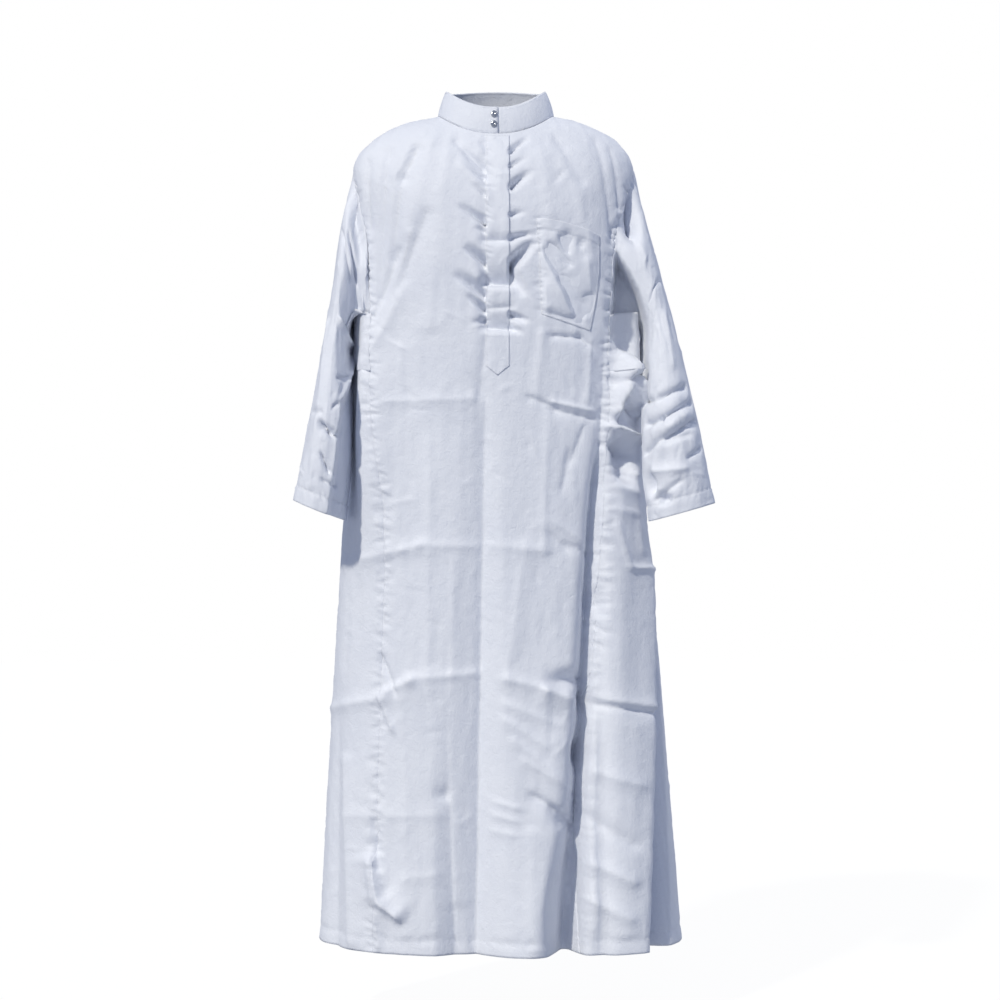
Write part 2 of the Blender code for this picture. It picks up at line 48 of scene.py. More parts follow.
# Body rings from the neck to the hem, as in the CAD model
RING_COLUMNS = (
    "minus_x", "plus_x", "side_z", "front_y", "front_z", "back_y", "back_z",
    "seam_minus", "seam_plus", "back_seam",
)
RINGS = np.array([
    (-0.103, 0.099, 0.000, -0.080, -0.040, 0.066, 0.014, 1.00, 1.00, 1.00),
    (-0.165, 0.153, -0.014, -0.102, -0.078, 0.093, -0.022, 1.00, 1.00, 1.00),
    (-0.219, 0.209, -0.045, -0.117, -0.125, 0.113, -0.075, 1.00, 1.00, 1.00),
    (-0.250, 0.236, -0.092, -0.126, -0.178, 0.123, -0.145, 1.00, 1.00, 1.00),
    (-0.248, 0.241, -0.200, -0.133, -0.255, 0.125, -0.240, 0.91, 0.85, 0.87),
    (-0.247, 0.244, -0.340, -0.136, -0.365, 0.123, -0.362, 0.86, 0.80, 0.82),
    (-0.256, 0.254, -0.540, -0.138, -0.545, 0.125, -0.545, 0.79, 0.745, 0.78),
    (-0.267, 0.262, -0.700, -0.143, -0.700, 0.134, -0.700, 0.71, 0.695, 0.74),
    (-0.281, 0.280, -0.930, -0.151, -0.930, 0.144, -0.930, 0.70, 0.60, 0.71),
    (-0.294, 0.298, -1.150, -0.159, -1.150, 0.153, -1.150, 0.69, 0.49, 0.69),
    (-0.308, 0.320, -1.424, -0.168, -1.428, 0.163, -1.424, 0.685, 0.45, 0.68),
])
SHOULDER_END = 3
UNDERARM = 5
GORE_TOP = 5.5
HEM_LEVEL = len(RINGS) - 1
SQUARENESS = 2.3

# Sleeves from the armhole to the cuff, as in the CAD model
SLEEVE_COLUMNS = ("outer_x", "outer_z", "inner_x", "inner_z", "middle_y", "half_depth")
SLEEVES = {
    "plus": np.array([
        (0.236, -0.092, 0.244, -0.340, -0.004, 0.095),
        (0.260, -0.190, 0.252, -0.372, -0.008, 0.090),
        (0.285, -0.288, 0.250, -0.408, -0.026, 0.081),
        (0.310, -0.393, 0.247, -0.458, -0.062, 0.070),
        (0.333, -0.500, 0.2455, -0.543, -0.095, 0.060),
        (0.352, -0.592, 0.247, -0.628, -0.106, 0.055),
        (0.368, -0.670, 0.257, -0.701, -0.112, 0.050),
    ]),
    "minus": np.array([
        (-0.250, -0.092, -0.247, -0.340, -0.004, 0.095),
        (-0.270, -0.190, -0.254, -0.372, -0.008, 0.090),
        (-0.282, -0.288, -0.253, -0.408, -0.026, 0.081),
        (-0.297, -0.393, -0.250, -0.458, -0.062, 0.071),
        (-0.313, -0.500, -0.248, -0.540, -0.095, 0.064),
        (-0.330, -0.592, -0.250, -0.622, -0.106, 0.060),
        (-0.344, -0.665, -0.258, -0.700, -0.112, 0.056),
    ]),
}
SIDES = (("plus", "left"), ("minus", "right"))
CUFF_LEVEL = 6
UNDERARM_ARC = (130.0, 230.0)
GUSSET_REACH = 1.5
JOIN_LEVELS = 2
ARMHOLE_CURVE = 1.6
SLEEVE_RADIUS = 0.085
SLEEVE_STEP = 0.103

# Collar, placket, pocket and studs: their places are those of the CAD model
COLLAR_TOP = (-0.090, 0.085, 0.0435, -0.071, 0.007, 0.057, 0.054)
COLLAR_END_X = 0.002
COLLAR_UNDERLAP = 0.022
COLLAR_BULGE = 0.0015
COLLAR_FOOT = 0.012
COLLAR_HEIGHT = 0.047
COLLAR_RADIUS = 0.09
COLLAR_GROOVE = 0.0004
COLLAR_GROOVE_WIDTH = 0.0009
COLLAR_ROUNDING = 0.0007
TUCK_START = 300
TUCK_FADE = 40
PLACKET_X = (-0.019, 0.021)
PLACKET_TOP_Z = -0.044
PLACKET_STITCH_Z = -0.384
PLACKET_CORNER_Z = -0.4395
PLACKET_TIP_Z = -0.4555
PLACKET_LIFT = 0.0014
POCKET_CORNERS = ((0.067, -0.190), (0.172, -0.217), (0.075, -0.352), (0.157, -0.379))
POCKET_WIDTH = 0.105
POCKET_LENGTH = 0.165
POCKET_HEM = 0.115
POCKET_ARCH = 0.0048
POCKET_BOW = 0.006
POCKET_EASE = 0.0022
POCKET_GAPE = 0.0020
POCKET_GROOVE = 0.0007
POCKET_HEM_STEP = 0.0008
POCKET_LOOSE_FROM = 0.022
BAG_LEVELS = (6.0, 7.25)
BAG_REACH = 0.80
BAG_DEPTH = 0.0030
STUD_X = -0.0055
STUD_Z = (-0.0060, -0.0235)
STUD_RADIUS = 0.0058
STUD_SIDES = 48
STUD_PROFILE = (
    (0.0, 0.00155), (0.10, 0.0016), (0.20, 0.00175), (0.28, 0.0021), (0.34, 0.0026), (0.42, 0.0030),
    (0.52, 0.0032), (0.64, 0.0031), (0.74, 0.0027), (0.80, 0.0023), (0.86, 0.0022), (0.92, 0.0023),
    (0.97, 0.0020), (1.0, 0.0014), (0.98, 0.0007), (0.93, 0.0002), (0.80, 0.0),
)

# Folds, creases and dents are given in millimetres, this many to the metre
MM = 1000

# Long folds of the body. Round is the distance round the body from the front centre, + to the wearer's left.
FOLD_COLUMNS = (
    "top_z", "bottom_z", "top_round", "bottom_round", "top_depth", "bottom_depth",
    "top_minus", "bottom_minus", "top_plus", "bottom_plus", "sharpness",
)
FOLDS = np.array([
    (-400, -1430, -18, -37, -6, -42, 20, 60, 12, 40, 1.05),  # front pleat
    (-420, -1430, -2, 24, 2, 7, 12, 30, 20, 40, 1.7),
    (-850, -1430, -88, -74, 0, -10, 12, 16, 12, 16, 1.2),
    (-850, -1430, -112, -104, 0, 8, 30, 30, 20, 18, 1.5),
    (-360, -620, 190, 180, -2, -10, 16, 20, 6, 6, 1.5),
    (-560, -1430, 180, 134, -24, -72, 14, 28, 6, 10, 1.9),  # inside the plus seam
    (-850, -1430, 140, 62, 0, 12, 40, 50, 30, 30, 1.6),
    (-450, -1430, 225, 200, 4, 12, 20, 30, 30, 40, 1.6),
    (-680, -1430, 298, 250, 12, 22, 40, 40, 7, 9, 1.6),  # pleat before the side seam
    (-660, -1430, 320, 294, -26, -52, 12, 16, 9, 12, 2),
    (-950, -1430, -300, -305, -2, -14, 25, 25, 20, 25, 1.4),
    (-900, -1430, -555, -580, -2, -20, 20, 36, 16, 30, 1.4),  # back
    (-620, -1430, -690, -715, -4, -26, 14, 40, 24, 45, 1.3),
    (-600, -1430, -650, -660, 1, 8, 20, 30, 16, 22, 1.6),
    (-800, -1430, 645, 662, -3, -22, 24, 40, 12, 26, 1.3),
    (-1000, -1430, 520, 540, -2, -16, 22, 30, 14, 22, 1.5),
    (-120, -750, -740, -700, -3, -5, 30, 40, 20, 30, 1.6),
    (-140, -700, 660, 640, -4, -4, 24, 30, 20, 30, 1.6),
])
FOLD_UNITS = (MM,) * 10 + (1,)
FOLD_FADE = 0.18

CREASE_LIFT = 1.5
CREASE_SHARPNESS = 1.25
CREASE_END = 0.010
PULL_REACH = 1.5
PULL_CLEAR = 0.0165
PULL_FADE = 0.005

# Creases of the body: a straight line from its start to its end (round, z, round, z), its height in tenths
# of a millimetre, and its width on either side: above and below a line across, to the minus and plus side of
# a line down
CREASE_UNITS = (MM, MM, MM, MM, 10 * MM, MM, MM)
CREASES = [
    # pressed lines across
    (-200, -499, -30, -494, 18, 9, 12),
    (-152, -480, -146, -518, -10, 4, 6),
    (52, -490, 104, -511, -42, 4, 9),
    (88, -499, 166, -515, 36, 4, 5),
    (90, -512, 170, -529, -36, 4, 8),
    (-300, -780, -155, -748, 26, 10, 10),
    (-168, -752, -122, -739, 30, 8, 10),
    (-138, -740, -30, -743, 24, 9, 14),
    (-16, -740, 88, -751, 20, 10, 12),
    (86, -718, 122, -752, -26, 4, 8),
    (112, -738, 190, -761, -26, 4, 8),
    (92, -700, 150, -738, 18, 8, 6),
    (-350, -1026, -188, -997, 34, 8, 12),
    (-204, -994, -140, -964, 60, 5, 22),
    (-156, -966, -30, -955, 36, 8, 16),
    (10, -963, 92, -983, 40, 9, 14),
    (78, -980, 160, -1010, 62, 5, 20),
    (160, -1006, 310, -1035, -46, 5, 6),
    (162, -997, 305, -1024, 36, 10, 5),
    (-280, -1201, -90, -1191, 16, 10, 12),
    (-165, -1303, -92, -1290, 16, 8, 10),
    (-10, -1169, 46, -1182, 20, 6, 6),
    (-10, -1191, 40, -1203, 20, 6, 6),
    (-10, -1218, 34, -1226, 18, 6, 6),
    (56, -1156, 102, -1183, -56, 5, 10),
    (90, -1178, 140, -1216, -66, 5, 11),
    # pressed lines down
    (-115, -560, -117, -995, 14, 7, 9),
    (48, -735, 14, -970, 24, 8, 14),
    (87, -510, 77, -756, 20, 6, 10),
    (-163, -400, -169, -745, 12, 10, 12),
    (-74, -760, -77, -970, 16, 10, 10),
    (-83, -975, -72, -1345, 26, 14, 18),
    (-158, -990, -151, -1400, 18, 16, 20),
    (55, -1215, 64, -1420, 22, 14, 20),
    (76, -378, 64, -506, 22, 5, 8),
    (161, -392, 156, -502, 22, 6, 5),
    (-280, -1100, -260, -1420, 40, 8, 16),
    (252, -560, 262, -760, 28, 12, 10),
    (236, -1040, 214, -1400, 30, 20, 20),
    # drags of the chest
    (-140, -60, -166, -124, -60, 4, 10),
    (-166, -112, -184, -265, -36, 5, 12),
    (-112, -46, -154, -222, 22, 10, 12),
    (-194, -64, -208, -330, -34, 8, 12),
    (-236, -80, -230, -210, -34, 5, 9),
    (-120, -175, -173, -312, -30, 5, 12),
    (-144, -208, -163, -265, 24, 4, 6),
    (-170, -236, -218, -360, -42, 5, 10),
    (-85, -70, -114, -380, 22, 18, 18),
    (-158, -300, -210, -405, 26, 6, 9),
    (-74, -50, -14, -126, -36, 5, 10),
    (-62, -94, -16, -156, 24, 7, 8),
    (100, -42, 146, -132, -34, 5, 12),
    (73, -68, 92, -190, 20, 12, 14),
    (120, -70, 182, -330, 20, 14, 16),
    (180, -44, 206, -228, -36, 7, 10),
    (209, -60, 222, -168, -34, 5, 8),
    (112, -106, 99, -126, -26, 3, 3),
    (-19, -388, -31, -498, -24, 6, 10),
    # soft rolls across the placket
    (-24, -228, 26, -228, -60, 10, 4),
    (-24, -301, 26, -303, -150, 22, 4),
    (-24, -376, 26, -378, -110, 24, 4),
    (-24, -344, 26, -340, -26, 6, 4),
    # below the pocket
    (90, -388, 146, -391, -42, 4, 5),
    (140, -388, 164, -406, -44, 4, 5),
    # drags of the skirt
    (10, -1030, 86, -1080, 24, 7, 12),
    (24, -1064, 112, -1134, 26, 7, 12),
    (42, -1098, 132, -1154, 24, 7, 12),
    (10, -1004, 110, -1044, 20, 7, 12),
    (122, -580, 109, -652, -26, 4, 8),
    (150, -538, 124, -604, -26, 4, 8),
    # beside the minus seam
    (-200, -930, -172, -992, -55, 6, 4),
    (-204, -995, -176, -1056, 40, 4, 5),
    (-215, -1200, -204, -1290, -50, 6, 10),
    (-214, -1262, -198, -1342, 100, 22, 8),
    (-198, -1342, -162, -1368, 120, 20, 8),
    (-218, -1270, -203, -1420, 35, 8, 6),
    (-206, -700, -182, -760, 20, 6, 8),
    # beside the plus side: bunched cloth under the arm, pocket bag pressed through
    (204, -520, 228, -412, 200, 7, 12),
    (228, -430, 262, -520, 170, 9, 8),
    (205, -470, 250, -446, -100, 6, 6),
    (214, -500, 250, -520, -110, 6, 6),
    (222, -488, 216, -540, -90, 4, 5),
    (192, -540, 275, -562, 150, 7, 6),
    (200, -575, 262, -590, -150, 10, 6),
    (206, -610, 262, -622, 70, 8, 6),
    (206, -700, 232, -780, 34, 5, 5),
    (228, -779, 318, -786, 40, 4, 5),
    (200, -640, 268, -656, 30, 8, 8),
    (196, -680, 262, -690, 24, 8, 8),
    (150, -1190, 235, -1250, -50, 8, 12),
    (150, -1270, 232, -1310, 50, 10, 10),
    (146, -1330, 226, -1372, 45, 10, 10),
    (160, -1120, 250, -1150, 34, 12, 12),
    # back: pressed lines and drags
    (-800, -498, -480, -505, 22, 9, 12),
    (-780, -748, -470, -742, 24, 9, 12),
    (500, -744, 740, -752, 24, 9, 12),
    (-790, -985, -460, -970, 40, 6, 18),
    (480, -975, 760, -992, 40, 6, 18),
    (-650, -125, -520, -330, -34, 8, 12),
    (560, -110, 500, -320, -40, 12, 8),
    (620, -130, 560, -360, 30, 12, 12),
    (-620, -120, -520, -380, 30, 14, 10),
    (-520, -560, -470, -700, -40, 6, 10),
    (500, -520, 540, -690, -40, 8, 6),
    (-700, -1180, -540, -1205, 26, 8, 10),
    (520, -1196, 700, -1184, 26, 8, 10),
]

# Pulls beside the placket: creases that deepen from their start to their end at the placket
PULLS = [
    (-66, -166, -12, -204, -170, 8, 5),
    (-36, -204, -12, -217, -100, 5, 4),
    (-56, -236, -12, -274, -230, 11, 6),
    (-74, -282, -12, -328, -230, 12, 6),
    (-52, -318, -12, -354, -190, 9, 5),
    (-46, -368, -12, -362, -80, 6, 5),
    (-42, -130, -12, -158, -90, 5, 4),
    (-48, -100, -12, -130, -80, 5, 4),
    (-60, -64, -12, -112, -80, 6, 5),
    (54, -46, 16, -76, -120, 6, 4),
    (48, -84, 16, -104, -80, 5, 4),
    (60, -104, 16, -140, -150, 8, 5),
    (48, -178, 16, -186, -80, 5, 4),
    (70, -214, 16, -224, -110, 6, 5),
    (66, -224, 16, -272, -270, 11, 7),
    (48, -326, 16, -262, -220, 12, 6),
    (54, -366, 16, -350, -150, 7, 5),
    (46, -386, 16, -374, -70, 5, 5),
]

# Dents and lumps of the body: place (round, z), reach to the minus side, plus side, up and down, height in
# tenths of a millimetre and how square they are
DENT_UNITS = (MM, MM, MM, MM, MM, MM, 10 * MM, 1)
DENTS = [
    (128, -968, 36, 30, 16, 12, -190, 2.4),
    (160, -1006, 18, 10, 22, 20, -240, 2.4),
    (184, -622, 14, 6, 45, 45, -140, 2.4),
    (180, -835, 20, 8, 22, 20, -140, 2.4),
    (148, -1093, 20, 10, 26, 24, -260, 2.4),
    (116, -1200, 20, 14, 16, 14, -170, 2.4),
    (128, -1262, 24, 12, 45, 45, -180, 2.4),
    (112, -1370, 28, 22, 90, 90, -300, 4),
    (104, -1033, 22, 20, 30, 30, -80, 2),
    (-88, -1160, 16, 6, 14, 10, -70, 2),
    (244, -370, 30, 34, 64, 48, -360, 4),
    (230, -475, 20, 30, 40, 36, 180, 3),
    (228, -602, 22, 30, 40, 30, -340, 3),
    (-204, -1330, 16, 14, 60, 80, 50, 2),
    (-226, -530, 28, 46, 200, 200, 230, 2.6),
    (165, -1350, 12, 16, 80, 60, 100, 2),
]

# Relief of the chest pocket alone: its creases and dents
POCKET_CREASES = [
    (70, -240, 126, -356, 34, 10, 8),
    (80, -242, 114, -302, -50, 7, 12),
    (110, -292, 144, -356, -65, 7, 12),
    (88, -232, 124, -268, -50, 5, 4),
    (106, -220, 120, -246, -60, 4, 6),
    (76, -350, 144, -364, -40, 4, 6),
    (152, -256, 160, -320, 30, 14, 10),
    (80, -300, 84, -350, 24, 6, 8),
    (140, -350, 164, -322, -60, 8, 4),
]
POCKET_DENTS = [
    (122, -222, 10, 10, 12, 12, -50, 2.4),
    (142, -232, 8, 8, 10, 10, -40, 2.4),
    (98, -222, 10, 12, 10, 12, 30, 2),
    (160, -330, 10, 8, 20, 16, -50, 2),
    (104, -310, 20, 20, 40, 40, 40, 2),
]

# Creases and dents of the sleeves, in place of round and z: degrees round the sleeve from its outer edge
# over the front, and its level
SLEEVE_CREASE_UNITS = (1, 1, 1, 1, 10 * MM, MM, MM)
SLEEVE_DENT_UNITS = (1, 1, MM, MM, MM, MM, 10 * MM, 1)
SLEEVE_CREASES = {
    "plus": [
        (118, 3.62, 34, 3.7, -65, 7, 4),
        (112, 4, 24, 3.97, -65, 7, 4),
        (112, 4.38, 22, 4.29, -90, 8, 4),
        (152, 3.98, 106, 4.02, -80, 5, 7),
        (104, 4.46, 48, 4.5, -40, 4, 6),
        (66, 4.9, 24, 4.8, -50, 7, 4),
        (160, 4.54, 112, 4.34, -70, 5, 7),
        (100, 1.5, 14, 2.02, -30, 4, 3),
        (146, 5.58, 84, 5.3, -40, 5, 7),
        (156, 3.5, 126, 3.62, -60, 6, 7),
        (60, 2.3, 66, 3.3, 30, 16, 10),
        (60, 0.1, 70, 1.1, 40, 12, 12),
        (140, 4.9, 70, 5.1, 40, 10, 10),
        (-60, 3.6, -10, 3.9, -80, 6, 8),
        (-90, 4.2, -20, 4.35, -90, 6, 8),
        (-100, 3.3, -40, 3.45, -60, 6, 8),
        (-110, 4.8, -40, 4.7, -60, 6, 8),
        (-60, 0.6, -70, 2.6, 40, 16, 12),
    ],
    "minus": [
        (88, 2.16, 206, 1.64, 60, 6, 7),
        (30, 1, 102, 0.76, -40, 6, 10),
        (60, 0.66, 112, 0.42, -80, 6, 6),
        (104, 3.3, 154, 3, -40, 3, 4),
        (98, 3.86, 124, 3.62, -40, 3, 4),
        (66, 4.26, 114, 4.32, -160, 4, 6),
        (82, 4.8, 110, 5.1, -80, 4, 6),
        (90, 5.3, 124, 5.36, -40, 4, 4),
        (70, 4.06, 24, 4.16, -30, 4, 5),
        (206, 1.7, 164, 2.84, 50, 5, 8),
        (164, 2.84, 118, 3.66, 50, 5, 8),
        (118, 3.6, 112, 5.98, 30, 10, 4),
        (40, 2.6, 70, 5.6, 22, 14, 14),
        (-60, 3.6, -10, 3.9, -70, 6, 8),
        (-90, 4.3, -20, 4.4, -70, 6, 8),
        (-60, 0.6, -70, 2.6, 40, 16, 12),
    ],
}
SLEEVE_DENTS = {
    "plus": [
        (56, 0.3, 24, 22, 28, 36, -440, 2.8),
        (66, 0.36, 14, 14, 18, 30, -120, 2.2),
        (148, 5.2, 18, 16, 24, 22, -200, 2.4),
        (120, 5.62, 18, 20, 14, 10, -160, 2.6),
        (112, 4.8, 20, 20, 26, 26, -60, 2),
        (92, 4.2, 20, 20, 10, 10, 60, 2),
        (60, 4.12, 20, 30, 10, 10, 50, 2),
    ],
    "minus": [
        (58, 0.2, 60, 60, 14, 28, -180, 3),
        (222, 1.3, 50, 30, 90, 90, 100, 2.4),
        (118, 0.62, 28, 30, 26, 36, -160, 2.6),
        (104, 0.14, 10, 14, 8, 10, 120, 2.2),
        (126, 0.34, 8, 10, 6, 10, 80, 2.2),
        (104, 4.3, 14, 8, 6, 6, -80, 2),
    ],
}

# Hollow of the sleeve on the wearer's left: the turn of its sharp edge at each level, its depth at two turns,
# and where and over how far it fades out
HOLLOW_LEVELS = (0.0, 0.5, 0.95, 1.3, 1.9, 3.0, 3.6)
HOLLOW_TURNS = (92, 99, 106, 116, 126, 132, 136)
HOLLOW_END = 3.7
HOLLOW_WALL = 7
HOLLOW_DEEP = (130, 0.078)
HOLLOW_SHALLOW = (190, 0.045)
HOLLOW_BACK = 226
HOLLOW_BACK_FADE = 22
HOLLOW_TOP_FADE = 0.16
HOLLOW_END_FADE = 0.3

# Edge of the sleeve on the wearer's right where its cloth turns in: turn at each level
EDGE_LEVELS = (1.7, 2.84, 3.66, 4.2, 6.0)
EDGE_TURNS = (200, 164, 122, 114, 112)
EDGE_DEPTH = 0.036
EDGE_WIDTH = 0.009
EDGE_BACK = 235
EDGE_BACK_FADE = 40
EDGE_TOP_FADE = 0.5

# Small creases scattered over the body and over a sleeve
CRUMPLES = 620
SLEEVE_CRUMPLES = 130

# Seam puckers: mean distance between them, reach to each side and depth
SEAM_PUCKERS = {
    "front_minus": (0.0105, 0.011, 0.0020),
    "front_plus": (0.0095, 0.012, 0.0026),
    "back_minus": (0.0130, 0.011, 0.0018),
    "back_plus": (0.0130, 0.011, 0.0018),
    "side_plus": (0.0180, 0.010, 0.0012),
    "side_minus": (0.0180, 0.010, 0.0012),
}
SIDE_TOP_Z = -0.43
SEAM_TOP_Z = -0.10
SEAM_END_Z = -1.42
SEAM_LEAN = 0.15
PLACKET_LEAN = 0.6
HEM_REACH = (-0.9, 0.85)
SLEEVE_TURNS = (-110.0, 250)
PLACKET_PUCKERS = (0.0085, 0.008, 0.0017)
POCKET_PUCKERS = (0.0090, 0.007, 0.0017)
ARMHOLE_PUCKERS = (0.0085, 0.010, 0.0020)
CUFF_PUCKERS = (0.014, 0.0012)
SEAM_GROOVE = 0.0010
SEAM_GROOVE_WIDTH = 0.0028
SIDE_GROOVE_TOP_Z = -0.44
GROOVE_TOP_Z = -0.09
SEED = 7

# Hems
HEM_DEPTH = 0.022
CUFF_HEM = 0.34
HEM_GROOVE = 0.0008
HEM_GROOVE_WIDTH = 0.0020
HEM_STEP = 0.0005
HEM_STEP_WIDTH = 0.001
NECK_FADE = 0.12
ARMHOLE_FADE = 0.06
HEM_PUCKERS = (0.014, 0.009, 0.0016)

# Cloth
CLOTH = 0.0006
COLLAR_CLOTH = 0.0018
LAYER = 0.0009
LAYER_GAP = 0.0005
ALLOWANCE = 0.0030
ALLOWANCE_DEPTH = 0.0009
WAVES = 26
WAVE_LENGTHS = (0.012, 0.080)
WAVE_SLOPE = 0.028

# Rows and columns of the sheets
FRONT_GRID = (424, 112)
BACK_GRID = (300, 108)
GORE_GRID = (250, 34)
SLEEVE_GRID = (176, 136)
GUSSET_GRID = (40, 36)
COLLAR_GRID = (22, 260)
PLACKET_GRID = (190, 20)
POCKET_GRID = (84, 54)
BAG_GRID = (40, 24)
UPPER_END_Z = -0.70
UPPER_FADE = 0.20
FRONT_PEAKS = ((0, 0.035, 1.6), (1, 0.035, 1.6), (0.485, 0.06, 0.9), (0.86, 0.10, 0.4))
BACK_PEAKS = ((0, 0.035, 1.2), (1, 0.035, 1.2))
GORE_PEAKS = ((0, 0.08, 0.8), (1, 0.08, 0.4))

# Topstitching
STITCH = 0.0026
STITCH_GAP = 0.0009
THREAD = 0.00024
STITCH_SIDES = 5
EDGE_STITCH = 0.0022

# Colours (linear) and studio
CLOTH_LIGHT = (0.800, 0.828, 0.895, 1)
CLOTH_DARK = (0.765, 0.795, 0.870, 1)
THREAD_COLOUR = (0.86, 0.88, 0.93, 1)
METAL_DARK = (0.36, 0.38, 0.42, 1)
METAL_LIGHT = (0.62, 0.64, 0.68, 1)
FLOOR_COLOUR = (0.36, 0.38, 0.42, 1)
FLOOR_WHITE = 0.88
FLOOR_GLOW = 1.09
KEY_TURN = -34
KEY_RISE = 42
KEY_POWER = 2.42
KEY_COLOUR = (1.0, 0.95, 0.83)
KEY_ANGLE = 2.6
BACK_TURN = 128
BACK_RISE = 32
BACK_POWER = 0.55
BACK_ANGLE = 12
FILL_COLOUR = (0.84, 0.97, 1.34, 1)
FILL_POWER = 0.35
FLOOR_Z = -1.56
FLOOR_RADIUS = 9.0
CAMERA = (0.005, -4.0, -0.665)
LENS = 82.8


def smooth_row(table, level):
    """The table's row at a level between two rows, on a smooth curve through all of them."""
    level = np.clip(np.asarray(level, float), 0, len(table) - 1)
    low = np.clip(np.floor(level).astype(int), 0, len(table) - 2)
    slopes = np.gradient(table, axis=0)
    t = (level - low)[..., None]
    a, b = table[low], table[low + 1]
    return (
        a * (2 * t**3 - 3 * t**2 + 1)
        + slopes[low] * (t**3 - 2 * t**2 + t)
        + b * (3 * t**2 - 2 * t**3)
        + slopes[low + 1] * (t**3 - t**2)
    )


def by_name(names, rows):
    """The columns of a table's rows, by their names."""
    return dict(zip(names, np.moveaxis(np.asarray(rows), -1, 0)))


def in_metres(rows, units):
    """A table's rows, with each column divided by its unit."""
    return (np.array(rows) / units).tolist()


def unit(vectors):
    return vectors / np.linalg.norm(vectors, axis=-1, keepdims=True)


def smooth(share):
    share = np.clip(share, 0, 1)
    return share**2 * (3 - 2 * share)


def ring_point(ring, angle):
    """A point of one ring at an angle in degrees: 0 at the wearer's left side, -90 at the front centre."""
    at = by_name(RING_COLUMNS, ring)
    cos, sin = np.cos(np.radians(angle)), np.sin(np.radians(angle))
    power = 2 / SQUARENESS
    x = np.where(cos > 0, at["plus_x"], at["minus_x"]) * np.abs(cos) ** power
    y = np.where(sin < 0, at["front_y"], at["back_y"]) * np.abs(sin) ** power
    end_z = np.where(sin < 0, at["front_z"], at["back_z"])
    z = at["side_z"] + (end_z - at["side_z"]) * sin**2
    return np.stack(np.broadcast_arrays(x, y, z), axis=-1)


def plain_body(angle, level):
    """The body form without its relief."""
    return ring_point(smooth_row(RINGS, level), angle)


def body_normal(angle, level):
    round_way = plain_body(angle + 0.5, level) - plain_body(angle - 0.5, level)
    down_way = plain_body(angle, level + 0.02) - plain_body(angle, level - 0.02)
    return unit(np.cross(down_way, round_way))


# Distance round the body from the front centre, as a table over level and angle
TABLE_LEVELS = np.linspace(0, HEM_LEVEL, 401)
TABLE_ANGLES = np.linspace(-270, 90, 721)


def round_table():
    points = plain_body(TABLE_ANGLES, TABLE_LEVELS[:, None])[..., :2]
    steps = np.linalg.norm(np.diff(points, axis=1), axis=-1)
    reach = np.concatenate([np.zeros((len(steps), 1)), np.cumsum(steps, axis=1)], axis=1)
    return reach - reach[:, [np.argmin(np.abs(TABLE_ANGLES + 90))]]


ROUND_TABLE = round_table()


def round_distance(angle, level):
    """How far round the body a point is from the front centre, + towards the wearer's left."""
    angle, level = np.broadcast_arrays(np.asarray(angle, float), np.asarray(level, float))
    angle = np.where(angle > 90, angle - 360, angle)
    row = np.clip(level / HEM_LEVEL, 0, 1) * (len(TABLE_LEVELS) - 1)
    column = np.clip((angle + 270) / 360, 0, 1) * (len(TABLE_ANGLES) - 1)
    r = np.minimum(row.astype(int), len(TABLE_LEVELS) - 2)
    c = np.minimum(column.astype(int), len(TABLE_ANGLES) - 2)
    v, h = row - r, column - c
    return (
        ROUND_TABLE[r, c] * (1 - v) * (1 - h)
        + ROUND_TABLE[r, c + 1] * (1 - v) * h
        + ROUND_TABLE[r + 1, c] * v * (1 - h)
        + ROUND_TABLE[r + 1, c + 1] * v * h
    )


def crease_height(across, up, creases, taper=False):
    """The height of a list of creases at places on the cloth. With taper each deepens towards its end."""
    total = np.zeros(across.shape)
    for start_a, start_u, end_a, end_u, height, first, second in creases:
        da, du = end_a - start_a, end_u - start_u
        length = math.hypot(da, du)
        reach = 3 * max(first, second) + CREASE_END
        near = (
            (across > min(start_a, end_a) - reach) & (across < max(start_a, end_a) + reach)
            & (up > min(start_u, end_u) - reach) & (up < max(start_u, end_u) + reach)
        )
        if not near.any():
            continue
        a, u = across[near] - start_a, up[near] - start_u
        along = (a * da + u * du) / length**2
        off = (u * da - a * du) / length
        on_first = off > 0 if abs(da) > abs(du) else off * np.sign(-du) < 0
        off = np.abs(np.where(on_first, off / first, off / second))
        fade = min(0.5, CREASE_END / length)
        ends = smooth((along + fade) / (2 * fade)) * smooth((1 - along + fade) / (2 * fade))
        if taper:
            total[near] += CREASE_LIFT * height * ends * np.clip(along, 0, 1) * smooth(1 - off / PULL_REACH)
        else:
            total[near] += CREASE_LIFT * height * ends * np.exp(-off**CREASE_SHARPNESS)
    return total


def dent_height(across, up, dents):
    total = np.zeros(across.shape)
    for middle_a, middle_u, minus, plus, above, below, height, power in dents:
        a, u = across - middle_a, up - middle_u
        a = a / np.where(a < 0, minus, plus)
        u = u / np.where(u > 0, above, below)
        total += height * np.exp(-((a**2 + u**2) ** (power / 2)))
    return total


def fold_height(place, z):
    total = np.zeros(place.shape)
    for row in FOLDS / FOLD_UNITS:
        fold = by_name(FOLD_COLUMNS, row)
        along = np.clip((fold["top_z"] - z) / (fold["top_z"] - fold["bottom_z"]), 0, 1)
        middle, depth, minus, plus = (
            fold["top_" + name] + (fold["bottom_" + name] - fold["top_" + name]) * along
            for name in ("round", "depth", "minus", "plus")
        )
        off = place - middle
        off = off / np.where(off < 0, minus, plus)
        total += depth * smooth(along / FOLD_FADE) * np.exp(-np.abs(off) ** fold["sharpness"])
    return total


